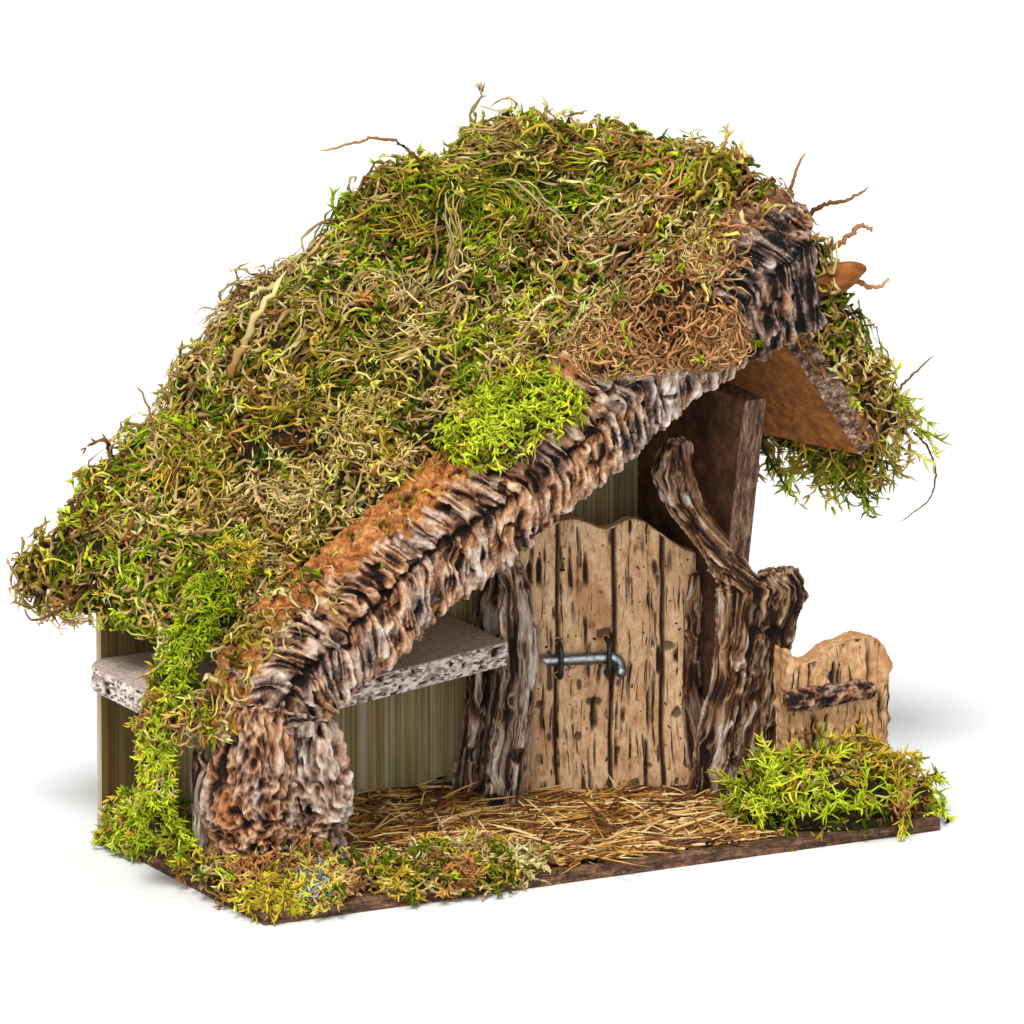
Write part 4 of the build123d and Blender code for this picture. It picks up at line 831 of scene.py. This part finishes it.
def surface_samples(piece, count, rng, keep):
    """Random points on a piece with their normals, where keep(points, normals) allows."""
    mesh = piece.data
    mesh.calc_loop_triangles()
    corners = np.empty(len(mesh.loop_triangles) * 3, np.int32)
    mesh.loop_triangles.foreach_get("vertices", corners)
    points, normals = places(piece)
    corners = corners.reshape(-1, 3)
    triangles = points[corners]
    sides = triangles[:, 1:] - triangles[:, :1]
    areas = np.linalg.norm(np.cross(sides[:, 0], sides[:, 1]), axis=1)
    middle_normals = unit(normals[corners].mean(axis=1))
    areas = areas * keep(triangles.mean(axis=1), middle_normals)
    chosen = rng.choice(len(areas), count, p=areas / areas.sum())
    weights = rng.dirichlet((1, 1, 1), count)
    return (triangles[chosen] * weights[:, :, None]).sum(axis=1), middle_normals[chosen]


def grow(roots, headings, normals, lengths, rng, curl, hug, sag, segments):
    """Curling lines from roots: each turns at random, keeps near the surface and sags."""
    count = len(roots)
    stride = (lengths / segments)[:, None]
    heading = unit(headings)
    bend = rng.normal(0, 1, (count, 3))
    path = [roots]
    for _ in range(segments):
        bend = 0.75 * bend + 0.65 * rng.normal(0, 1, (count, 3))
        heading = heading + curl * np.cross(bend, heading)
        rise = (heading * normals).sum(axis=1, keepdims=True)
        heading = heading - hug * rise * normals
        heading[:, 2] -= sag
        heading = unit(heading)
        path.append(path[-1] + heading * stride)
    return np.stack(path, axis=1)


def hold(mat, paths, stand):
    """Paths drawn back so that none stands further than this from the body it grows on."""
    if mat.name not in BODIES:
        faces = [list(face.vertices) for face in mat.data.polygons]
        BODIES[mat.name] = BVHTree.FromPolygons(places(mat)[0].tolist(), faces)
    held = paths.reshape(-1, 3).copy()
    for index, point in enumerate(held):
        foot, _, _, distance = BODIES[mat.name].find_nearest(Vector(point))
        if distance > TOUCHING:
            share = stand * (1 - math.exp(-distance / stand)) / distance
            held[index] = np.array(foot) + (point - np.array(foot)) * share
    return held.reshape(paths.shape)


def ring_faces(count, rings, sides):
    """Faces of tubes whose points follow ring by ring: the walls, then both ends."""
    start = np.arange(count)[:, None] * rings * sides
    walls = []
    for ring, index in product(range(rings - 1), range(sides)):
        after = (index + 1) % sides
        walls.append(start + ring * sides + np.array((index, after, sides + after, sides + index)))
    first = start + np.arange(sides)[::-1]
    last = start + (rings - 1) * sides + np.arange(sides)
    return np.concatenate(walls).tolist() + first.tolist() + last.tolist()


def tubes(paths, widths, colours, leafy, rng, sides=3):
    """Thin tapered tubes along paths, knobbly by a share, with colours from root to tip."""
    count, rings, _ = paths.shape
    paths = paths + 0.45 * leafy * widths[:, None, None] * rng.normal(0, 1, paths.shape)
    ahead = unit(np.gradient(paths, axis=1))
    side = unit(np.cross(ahead, rng.normal(0, 1, (count, 1, 3))))
    up = np.cross(ahead, side)
    share = np.linspace(0, 1, rings)
    taper = 1 - 0.6 * share ** 2
    knobs = 1 + leafy * np.where(np.arange(rings) % 2, 1, -1) + leafy * 0.4 * rng.normal(0, 1, (count, rings))
    radius = widths[:, None] / 2 * taper * np.clip(knobs, 0.3, 2)
    radius[:, -1] *= 0.3
    points = []
    for index in range(sides):
        angle = 2 * math.pi * index / sides
        points.append(paths + radius[:, :, None] * (math.cos(angle) * side + math.sin(angle) * up))
    points = np.stack(points, axis=2).reshape(-1, 3)
    share = share[None, :, None]
    tints = colours[0][:, None, :] * (1 - share) + colours[1][:, None, :] * share
    tints = tints * rng.uniform(1 - leafy, 1 + 0.6 * leafy, (count, rings, 1))
    tints = np.repeat(tints, sides, axis=1).reshape(-1, 3)
    return points, ring_faces(count, rings, sides), tints


def branchlets(paths, each, reach, rng):
    """Short side lines from along each path, and which path each grows from."""
    count, rings, _ = paths.shape
    ahead = unit(np.gradient(paths, axis=1))
    owner = np.repeat(np.arange(count), each)
    ring = rng.integers(2, rings, len(owner))
    start = paths[owner, ring]
    heading = unit(ahead[owner, ring] + 1.1 * unit(rng.normal(0, 1, (len(owner), 3))))
    length = rng.uniform(*reach, len(owner))[:, None]
    bent = unit(heading + 0.3 * rng.normal(0, 1, heading.shape))
    middle = start + heading * length / 2
    return owner, np.stack([start, middle, middle + bent * length / 2], axis=1)


def tone_pairs(names, rng):
    """Root and tip colours for each named tone, each strand a little different; the roots dimmed further as
    painted shade deep in the clump.
    """
    low = tones([MOSS_TONES[name][0] for name in names])
    high = tones([MOSS_TONES[name][1] for name in names])
    vary = rng.uniform(0.45, 1.4, (len(names), 1))
    return 0.65 * low * vary, np.minimum(high * vary, 0.95)


def about(points, centre, radius):
    """1 at a centre, falling off smoothly over a radius."""
    return np.exp(-(((points - centre) / radius) ** 2).sum(axis=1))


def pick_tones(points, mix, rng, seed, spots, patch=24.0):
    """A tone for each point: patches of like colour from a mix, and chosen spots of one tone."""
    names = list(mix)
    scores = []
    for index, name in enumerate(names):
        wide = noise(points / patch, seed + 31 * index)
        small = noise(points / (0.3 * patch), seed + 31 * index + 1)
        score = 3.0 * wide + 0.8 * small + math.log(mix[name]) + rng.gumbel(0, 0.4, len(points))
        for centre, radius, spot, gain in spots:
            if spot == name:
                score = score + gain * about(points, centre, radius)
        scores.append(score)
    chosen = np.argmax(np.stack(scores), axis=0)
    return [names[index] for index in chosen]


def open_side(points, normals):
    return normals[:, 2] > -0.4


def tangle(mat, count, mix, kind, rng, seed, keep=open_side, spots=()):
    """Strands of one kind rooted on a clump's body, lying in locks: layers of points, faces and colours."""
    def clumped(points, normals):
        return keep(points, normals) * (0.3 + step(noise(points / CLUMP_SIZE, CLUMP_SEED), -0.3, 0.25))

    roots, normals = surface_samples(mat, count, rng, clumped)
    loose = 0.4 * np.cross(normals, rng.normal(0, 1, (count, 3)))
    flat = laid_flat(wander(roots / LOCK_SIZE, seed) * 2.2 + loose, normals)
    headings = flat + kind["lift"] * rng.uniform(0.3, 1.4, (count, 1)) * normals
    lengths = rng.uniform(*kind["length"], count)
    growth = {name: kind[name] for name in ("curl", "hug", "sag", "segments")}
    paths = grow(roots, headings, normals, lengths, rng, **growth)
    paths = hold(mat, paths, kind.get("stand", STAND))
    colours = tone_pairs(pick_tones(roots, mix, rng, seed, spots), rng)
    layers = [tubes(paths, rng.uniform(*kind["width"], count), colours, kind["leafy"], rng)]
    if "branches" in kind:
        owner, twigs = branchlets(paths, kind["branches"], kind.get("reach", TWIG_REACH), rng)
        tips = colours[1][owner]
        layers.append(tubes(twigs, rng.uniform(0.9, 1.4, len(owner)), (0.8 * tips, tips), 0.0, rng))
    return layers


def locks(mat, count, each, rng, seed, keep=open_side, spots=()):
    """Matted locks: strands that wander side by side over the clump, each lock of one tone."""
    roots, normals = surface_samples(mat, count, rng, keep)
    flow = wander(roots / (2 * LOCK_SIZE), seed)
    flat = laid_flat(2.0 * flow + 0.5 * rng.normal(0, 1, (count, 3)), normals)
    lengths = rng.uniform(*LOCK_LENGTH, count)
    paths = grow(roots + normals, flat, normals, lengths, rng, curl=0.4, hug=0.75, sag=0.03, segments=9)
    paths = hold(mat, paths, LOCK_STAND)
    owner = np.repeat(np.arange(count), each)
    rings = paths.shape[1]
    spread = rng.normal(0, 1, (len(owner), 1, 3)) * rng.uniform(1.4, 3.2, count)[owner][:, None, None]
    stray = np.cumsum(rng.normal(0, 0.7, (len(owner), rings, 3)), axis=1)
    names = pick_tones(roots, LOCK_MIX, rng, seed, spots)
    low, high = tone_pairs([names[index] for index in owner], rng)
    dim = rng.uniform(0.75, 1.15, count)[owner][:, None]
    widths = rng.uniform(0.8, 1.6, len(owner))
    return [tubes(paths[owner] + spread + stray, widths, (low * dim, high * dim), 0.3, rng)]


def swirl(mat, centre, rng):
    """A lock of green strands that sweeps round in an arc on top of the clump."""
    points, normals = places(mat)
    here = (np.linalg.norm(points - centre, axis=1) < SWIRL_RADIUS) & (normals[:, 2] > 0.2)
    middle = points[here].mean(axis=0)
    up = unit(normals[here].mean(axis=0))
    right = laid_flat(np.array(SWIRL_ALONG), up)
    slope = np.cross(up, right)
    each = (SWIRL_COUNT, 1)
    turn = np.linspace(math.radians(175), math.radians(-45), 16)[None, :] + rng.normal(0, 0.18, each)
    reach = rng.uniform(6, 21, each) * (1 + 0.12 * np.sin(3 * turn + rng.uniform(0, 6, each)))
    lift = 3.5 + rng.uniform(-1.5, 2.0, each) + 1.5 * np.sin(turn)
    paths = middle + (reach * np.cos(turn))[:, :, None] * right
    paths = paths + (0.72 * reach * np.sin(turn))[:, :, None] * slope
    paths = paths + lift[:, :, None] * up
    colours = tone_pairs(rng.choice(["fresh", "olive", "deep"], SWIRL_COUNT).tolist(), rng)
    return [tubes(paths, rng.uniform(0.9, 1.5, SWIRL_COUNT), colours, 0.15, rng)]


def strand_piece(name, slot, material, layers):
    """One piece from layers of strands, kept above the floor and within the room for them."""
    points = np.concatenate([layer[0] for layer in layers])
    faces = []
    shift = 0
    for layer in layers:
        faces += [[index + shift for index in face] for face in layer[1]]
        shift += len(layer[0])
    piece = piece_from(name, np.clip(points, *ROOM), faces)
    tint(piece, np.concatenate([layer[2] for layer in layers]))
    stand_for(piece, material, slot)


def moss(name, layers):
    strand_piece(name, "moss", STRANDS, layers)


def on_roof(share, depth, lift):
    """A point over the left pitch: share from eave to ridge, depth from the front, lift above the board."""
    y = ROOF_FRONT + depth * ROOF_DEPTH
    ridge = RIDGE_X - math.tan(RIDGE_SKEW) * (y - ROOF_FRONT)
    x = ridge - (1 - share) * LEFT_RUN
    return np.array((x, y, RIDGE_HEIGHT - (1 - share) * LEFT_RUN * math.tan(ARCH_RISE) + lift))


# Spots of one tone: centre, radius, tone and strength
ROOF_SPOTS = (
    (on_roof(0.58, 0.16, 22), 22, "bright", 3.0),
    (on_roof(0.70, 0.50, 45), 26, "fresh", 1.5),
    (on_roof(0.74, 0.56, 42), 30, "deep", 2.8),
    (on_roof(0.86, 0.35, 30), 26, "fresh", 2.8),
    (on_roof(0.62, 0.80, 45), 26, "fresh", 2.4),
    (on_roof(0.06, 0.90, 22), 24, "bright", 2.2),
    (on_roof(0.02, 0.45, 5), 22, "fresh", 2.2),
    (on_roof(0.45, 0.92, 45), 24, "tan", 2.5),
    (on_roof(0.22, 0.10, 12), 32, "tan", 2.2),
    (on_roof(0.35, 0.30, 25), 30, "yellow", 1.8),
    (on_roof(0.50, 0.45, 32), 26, "tan", 2.0),
    (on_roof(0.70, 0.10, 18), 26, "rust", 2.5),
    (on_roof(0.80, 0.05, 18), 30, "rust", 3.5),
    (on_roof(0.80, 0.10, 24), 30, "tan", 2.5),
    (on_roof(0.93, 0.05, 24), 26, "rust", 3.0),
    (on_roof(0.98, 0.45, 25), 26, "bright", 1.6),
)
SWIRL_CENTRE = on_roof(0.70, 0.50, 40)
SIDE_SPOTS = (
    ((-150, 6, 50), 30, "bright", 4.5),
    ((-150, 4, 45), 28, "lichen", 9.5),
)
BASE_SPOTS = (
    ((-150, -74, 8), 16, "lichen", 5.0),
    ((-133, -72, 12), 9, "frost", 5.0),
    ((-112, -68, 10), 17, "rust", 5.0),
    ((-85, -42, 12), 26, "deep", 2.5),
    ((-150, 30, 12), 30, "fresh", 1.5),
)

# Crusts at the base's front left: count, mix, kind, seed, centre and radius
CRUSTS = (
    (260, dict(lichen=1.0), CRUST, 521, (-150, -74, 8), 12),
    (130, dict(lichen=1.0, olive=0.3), TRAILER, 524, (-146, -75, 7), 9),
    (60, dict(frost=1.0), CRUST, 522, (-133, -72, 10), 8),
    (300, dict(rust=0.8, yellow=1.4, tan=1.0), CRUST, 523, (-112, -68, 10), 14),
)

# Clumps on the base: node, how far its body lies inside it, its mixes, and the kind and count of its fronds
BASE_CLUMPS = (
    ("base_moss_left", 2.5, BASE_MIX, BASE_MIX, LOW_FROND, 380),
    ("base_moss_front_left", 2.5, BASE_MIX, BASE_MIX, LOW_FROND, 380),
    ("base_moss_front", 3.5, CHAFF_MIX, CHAFF_MIX, LOW_FROND, 380),
    ("base_moss_right", 6.0, BASE_MIX, LUSH_MIX, FERN, 230),
)
ARCH_STRANDS = (
    ("cork_arch_lower_bark", 330, DRY_MIX),
    ("cork_arch_upper_bark", 120, DRAPE_MIX),
    ("cork_ridge_end_bark", 320, DRAPE_MIX),
)
SHELF_CORNER = (-157.0, -16.0, 72.0)


def roof_side(points, normals):
    """The open side of the roof moss: not the face on the board, nor the face behind the arch."""
    return (normals[:, 2] > -0.3) & ((normals[:, 1] > -0.8) | (points[:, 1] > ROOF_FRONT + 4))


def near(centre, radius):
    """Keeps what lies about a centre."""
    return lambda points, normals: about(points, centre, radius) * (normals[:, 2] > -0.2)


def arch_rim(points, normals):
    """The arch's roof-side edge, in patches."""
    along, out, _ = arch_place(points)
    patches = step(noise(on_line(along) / 26, 60), 0.0, 0.4)
    patches = np.maximum(patches, 0.4 * step(along, 5, 15) * (1 - step(along, 45, 60)))
    return (out > CORK_EDGE) * (normals[:, 2] > 0.2) * (0.12 + patches)


def dress_moss():
    rng = np.random.default_rng(7)
    left = moss_mat("roof_moss_left_mat", "roof_moss_left", 2.2, 4.2, 4.4, 300)
    right = moss_mat("roof_moss_right_mat", "roof_moss_right", 2.2, 4.2, 4.4, 310)
    eave = moss_mat("eave_moss_mat", "eave_moss_right", 2.0, 10.0, 4.0, 320, hangs=True)
    side = moss_mat("left_strand_mat", "moss_strand_left", 1.4, 2.5, 1.5, 330)
    short = moss_mat("arch_moss_left_mat", "arch_moss_left", 1.2, 1.6, 1.0, 350)
    long = moss_mat("arch_moss_right_mat", "arch_moss_right", 1.2, 1.6, 1.0, 360)
    moss("roof_moss_dry", tangle(left, 3500, DRY_MIX, FIBRE, rng, 400, roof_side, ROOF_SPOTS))
    moss("roof_moss_green", tangle(left, 3300, GREEN_MIX, SHOOT, rng, 404, roof_side, ROOF_SPOTS))
    layers = locks(left, 170, 13, rng, 530, roof_side, ROOF_SPOTS)
    layers += locks(right, 50, 12, rng, 540)
    moss("roof_moss_locks", layers + swirl(left, SWIRL_CENTRE, rng))
    moss("roof_moss_tufts", tangle(left, 1100, GREEN_MIX, TUFT, rng, 408, roof_side, ROOF_SPOTS))
    layers = tangle(left, 330, SPRIG_MIX, SPRIG, rng, 409, roof_side)
    moss("roof_sprigs", layers + tangle(right, 90, RIGHT_SPRIG_MIX, SPRIG, rng, 410))
    layers = tangle(right, 1500, DRY_MIX, FIBRE, rng, 412)
    moss("roof_moss_right_tangle", layers + tangle(right, 1500, GREEN_MIX, SHOOT, rng, 416))
    layers = tangle(short, 330, TUFT_MIX, ARCH_TUFT, rng, 440)
    moss("arch_moss_left_tangle", layers + tangle(short, 160, DRY_MIX, ARCH_FIBRE, rng, 442))
    layers = tangle(long, 1700, DRAPE_MIX, DRAPE, rng, 446)
    moss("arch_moss_right_tangle", layers + tangle(long, 30, LUSH_MIX, FROND, rng, 448))
    for index, (name, count, mix) in enumerate(ARCH_STRANDS):
        bark = bpy.data.objects[name]
        layers = tangle(bark, count, mix, DRAPE, rng, 450 + 2 * index, arch_rim)
        layers += tangle(bark, count // 4, GREEN_MIX, SHOOT, rng, 451 + 2 * index, arch_rim)
        moss(name + "_moss", layers)
    layers = tangle(eave, 120, LUSH_MIX, HANGING, rng, 460)
    moss("eave_moss_fronds", layers + tangle(eave, 130, DRY_MIX, DRY_HANGING, rng, 464))
    shelf = bpy.data.objects["loft_shelf"]
    corner = near(SHELF_CORNER, 12)
    layers = tangle(shelf, 150, DRY_MIX, CORNER_FIBRE, rng, 476, corner)
    moss("loft_corner_moss", layers + tangle(shelf, 170, GREEN_MIX, CORNER_FROND, rng, 478, corner))
    layers = tangle(side, 800, GREEN_MIX, SIDE_FROND, rng, 470, spots=SIDE_SPOTS)
    moss("left_strand_moss", layers + tangle(side, 250, DRY_MIX, SIDE_FIBRE, rng, 474))
    for index, (node, shrink, dry, lush, kind, fronds) in enumerate(BASE_CLUMPS):
        mat = moss_mat(node + "_mat", node, 1.6, shrink, 2.2, 370 + 10 * index)
        layers = tangle(mat, 850, dry, LOW_FIBRE, rng, 480 + 10 * index, spots=BASE_SPOTS)
        layers += tangle(mat, fronds, lush, kind, rng, 485 + 10 * index, spots=BASE_SPOTS)
        if node == "base_moss_front_left":
            for count, mix, crust, seed, centre, radius in CRUSTS:
                layers += tangle(mat, count, mix, crust, rng, seed, near(centre, radius))
        moss(node + "_tangle", layers)


# Loose straw behind and before the bed, and curls along the base's left edge: ranges in x and y
BACK_STRAW = ((-95.0, -8.0), (22.0, 66.0))
FRONT_STRAW = ((-70.0, 82.0), (-68.0, -44.0))
EDGE_CURLS = ((-149.0, -138.0), (-66.0, -8.0))
STALK_COUNT = 1900


def loose_straw(count, across, deep, shades, rng, curl=0.08):
    """Stalks that lie on the base board within a range across it and from front to back."""
    ground = columns(rng.uniform(*across, count), rng.uniform(*deep, count), np.full(count, BASE_TOP + 0.8))
    headings = columns(rng.normal(0.3, 1, count), rng.normal(0, 0.5, count), rng.uniform(0, 0.15, count))
    upright = np.tile((0.0, 0.0, 1.0), (count, 1))
    paths = grow(ground, headings, upright, rng.gamma(3.5, 3.0, count), rng, curl, 0.3, 0.02, 6)
    shade = shades[rng.integers(0, len(shades), count)]
    stalks = tubes(paths, rng.uniform(0.6, 1.5, count), (shade, shade * 1.2), 0.0, rng, 4)
    np.clip(stalks[0][:, 1], *deep, out=stalks[0][:, 1])
    np.clip(stalks[0][:, 2], BASE_TOP + 0.2, None, out=stalks[0][:, 2])
    return stalks


def straw():
    """A bed of cut straw: a thin chaff layer, stalks over it, and loose stalks and curls beside it."""
    rng = np.random.default_rng(11)
    bed, points, normals = dense_copy("straw_chaff", ["straw_bed"], 1.6, 1)
    move_to(bed, raised(points, normals, 0.5 * layered(points / 4, 2, 500) - 0.7))
    look = Look("chaff")
    chaff = look.noise(420, 420, 420, 6, 0.8, 1.5)
    shade = look.ramp(chaff, (0.32, "1c0e04"), (0.46, "55350f"), (0.58, "a06c2c"), (0.72, "deb268"))
    stand_for(bed, look.done(shade, 0.9, chaff, 1.2), "straw", "straw_bed")
    count = STALK_COUNT
    roots, normals = surface_samples(bed, count, rng, lambda points, normals: normals[:, 2] > 0.5)
    headings = columns(rng.normal(0.3, 1, count), rng.normal(0, 0.6, count), rng.uniform(-0.1, 0.2, count))
    paths = grow(roots + (0, 0, 0.3), headings, normals, rng.gamma(3.5, 4.0, count), rng, 0.08, 0.3, 0.03, 3)
    shades = tones(STRAW_TONES)
    shade = shades[rng.integers(0, len(shades), count)]
    stalks = tubes(paths, rng.uniform(0.5, 1.4, count), (shade, shade * 1.25), 0.0, rng, 4)
    stalks[0][:, 2] = np.maximum(stalks[0][:, 2], BASE_TOP + 0.2)
    back = loose_straw(420, *BACK_STRAW, shades, rng)
    front = loose_straw(560, *FRONT_STRAW, shades, rng)
    strand_piece("straw_stalks", "straw", STALKS, [stalks, back, front])
    moss("base_edge_curls", [loose_straw(210, *EDGE_CURLS, tones(CURL_TONES), rng, 0.7)])


# Twigs, stems and curled roots among the moss: points from the buried end, width in mm and tone
TWIGS = {
    "twig_top": (
        ((-4, 60, 250), (-12, 60, 262), (-23, 60, 272), (-35, 60, 274), (-46, 60, 272), (-57, 60, 271)),
        1.5, "brown"),
    "stick_left": (((-96, 62, 184), (-85, 62, 206), (-73, 60, 224)), 3.6, "straw"),
    "stem_left": (((-124, 66, 125), (-126, 66, 155), (-128, 66, 171), (-134, 66, 184)), 1.4, "rust"),
    "curl_eave": (
        ((-147, 62, 112), (-163, 62, 102), (-177, 62, 96), (-184, 62, 95), (-187, 62, 101)), 1.3, "brown"),
    "curl_corner": (((-160, 62, 108), (-174, 62, 107), (-181, 62, 113), (-179, 62, 119)), 1.1, "brown"),
    "twig_ridge": (((108, -14, 240), (112, -16, 252), (115, -16, 261), (119, -16, 267)), 1.6, "brown"),
    "twig_ridge_right": (((118, -14, 238), (126, -16, 245), (136, -16, 245), (147, -16, 249)), 2.0, "brown"),
    "curl_ridge": (
        ((116, -16, 220), (128, -18, 225), (137, -18, 231), (143, -18, 236), (149, -18, 232)), 2.6, "rust"),
    "pod_curl": (((137, -19, 216), (142, -20, 212), (149, -20, 209), (155, -20, 213)), 2.2, "rust"),
    "twig_right": (((160, 0, 150), (169, 0, 160), (177, 0, 167), (187, 0, 174)), 1.2, "brown"),
    "hair_right": (((180, 4, 142), (187, 4, 136), (191, 4, 124), (188, 4, 113), (174, 4, 106)), 0.9, "brown"),
    "hair_under": (((152, 10, 141), (139, 10, 133), (128, 10, 131), (120, 10, 131)), 0.9, "brown"),
}
POD_ENDS = np.array(((119.0, -20.0, 213.3), (144.5, -20.0, 218.0)))
POD_WIDTH = 13.5
POD_RINGS = 15
POD_SIDES = 36


def twigs():
    rng = np.random.default_rng(23)
    for name, (route, width, shade) in TWIGS.items():
        route = np.array(route, float)
        fine = np.linspace(0, len(route) - 1, 6 * len(route))
        path = columns(*[np.interp(fine, np.arange(len(route)), axis) for axis in route.T])
        for _ in range(4):
            path[1:-1] = (path[:-2] + path[1:-1] + path[2:]) / 3
        path = path + 0.175 * width * rng.normal(0, 1, path.shape)
        colours = tone_pairs([shade], rng)
        strand_piece(name, "moss", TWIG, [tubes(path[None], np.array([width]), colours, 0.12, rng, 6)])


def pod():
    """A dry brown seed pod, in the moss beside the ridge."""
    rng = np.random.default_rng(29)
    length = POD_ENDS[1] - POD_ENDS[0]
    share = np.linspace(0.02, 0.98, POD_RINGS)
    path = POD_ENDS[0] + length * share[:, None]
    around = np.linspace(0, 2 * math.pi, POD_SIDES, endpoint=False)
    radius = POD_WIDTH / 2 * np.sin(math.pi * share) ** 0.6 * (1.1 - 0.45 * share)
    ridged = 1 + 0.13 * np.cos(5 * around) + 0.06 * np.cos(9 * around + 1)
    up = np.array((0, 0, 1.0))
    side = unit(np.cross(length, up))
    spokes = ridged[:, None] * (np.cos(around)[:, None] * side + np.sin(around)[:, None] * up)
    points = (path[:, None] + radius[:, None, None] * spokes).reshape(-1, 3)
    points = points + 0.5 * wander(points / (7, 2.5, 2.5), 600)
    piece = piece_from("ridge_pod", points, ring_faces(1, POD_RINGS, POD_SIDES))
    dark, light = tones(POD_TONES)
    pale = (0.5 + 0.5 * noise(points / (9, 1.6, 1.6), 610))[:, None]
    tint(piece, dark * (1 - pale) + light * pale * rng.uniform(0.9, 1.1, (len(points), 1)))
    stand_for(piece, TWIG, "moss")


# Stage
def direction(azimuth, elevation):
    """The way to a place seen at an azimuth and elevation in degrees, with the front at 0."""
    turn, rise = math.radians(azimuth), math.radians(elevation)
    return Vector((math.sin(turn) * math.cos(rise), -math.cos(turn) * math.cos(rise), math.sin(rise)))


def stage():
    """A pale floor, a world that is white where it is seen and dimmer as light, and three lamps."""
    bpy.ops.mesh.primitive_plane_add(size=FLOOR_SIZE, location=(0, 0, 0))
    floor = bpy.context.object
    floor.name = "floor"
    wear(floor, Look("floor").done("f7f7f7", 0.9, shine=0.0))
    world = bpy.data.worlds.new("studio")
    bpy.context.scene.world = world
    world.use_nodes = True
    tree = world.node_tree
    rays = tree.nodes.new("ShaderNodeLightPath").outputs
    seen = rays["Is Camera Ray"]
    for kind in ("Is Glossy Ray", "Is Transmission Ray"):
        either = tree.nodes.new("ShaderNodeMath")
        either.operation = "MAXIMUM"
        tree.links.new(seen, either.inputs[0])
        tree.links.new(rays[kind], either.inputs[1])
        seen = either.outputs[0]
    strength = tree.nodes.new("ShaderNodeMapRange")
    strength.inputs["To Min"].default_value = WORLD_LIGHT
    strength.inputs["To Max"].default_value = 1.0
    tree.links.new(seen, strength.inputs["Value"])
    background = tree.nodes["Background"]
    background.inputs["Color"].default_value = (1, 1, 1, 1)
    tree.links.new(strength.outputs[0], background.inputs["Strength"])
    for name, (azimuth, elevation, power, spread) in LAMPS.items():
        lamp = bpy.data.lights.new(name, "SUN")
        lamp.energy = power
        lamp.angle = math.radians(spread)
        holder = linked(name, lamp)
        holder.rotation_euler = direction(azimuth, elevation).to_track_quat("Z", "Y").to_euler()


def camera():
    lens = bpy.data.cameras.new("camera")
    lens.sensor_fit = "HORIZONTAL"
    lens.angle = 2 * math.atan(VIEW_WIDTH / 2 / VIEW_DISTANCE)
    lens.clip_start = 0.1
    lens.clip_end = 40.0
    holder = linked("camera", lens)
    back = direction(VIEW_AZIMUTH, VIEW_ELEVATION)
    holder.location = (Vector(VIEW_TARGET) + back * VIEW_DISTANCE) * MM
    holder.rotation_euler = back.to_track_quat("Z", "Y").to_euler()
    bpy.context.scene.camera = holder


bpy.context.scene.view_settings.view_transform = "Standard"
stage()
camera()
STRANDS = strand_look("moss_strands", 0.85, 0.08)
STALKS = strand_look("straw_stalks", 0.5, 0.4)
TWIG = strand_look("twigs", 0.85, 0.1)
MAT = mat_look()
dress_boards()
dress_bark()
dress_driftwood()
dress_planks()
dress_moss()
straw()
twigs()
pod()
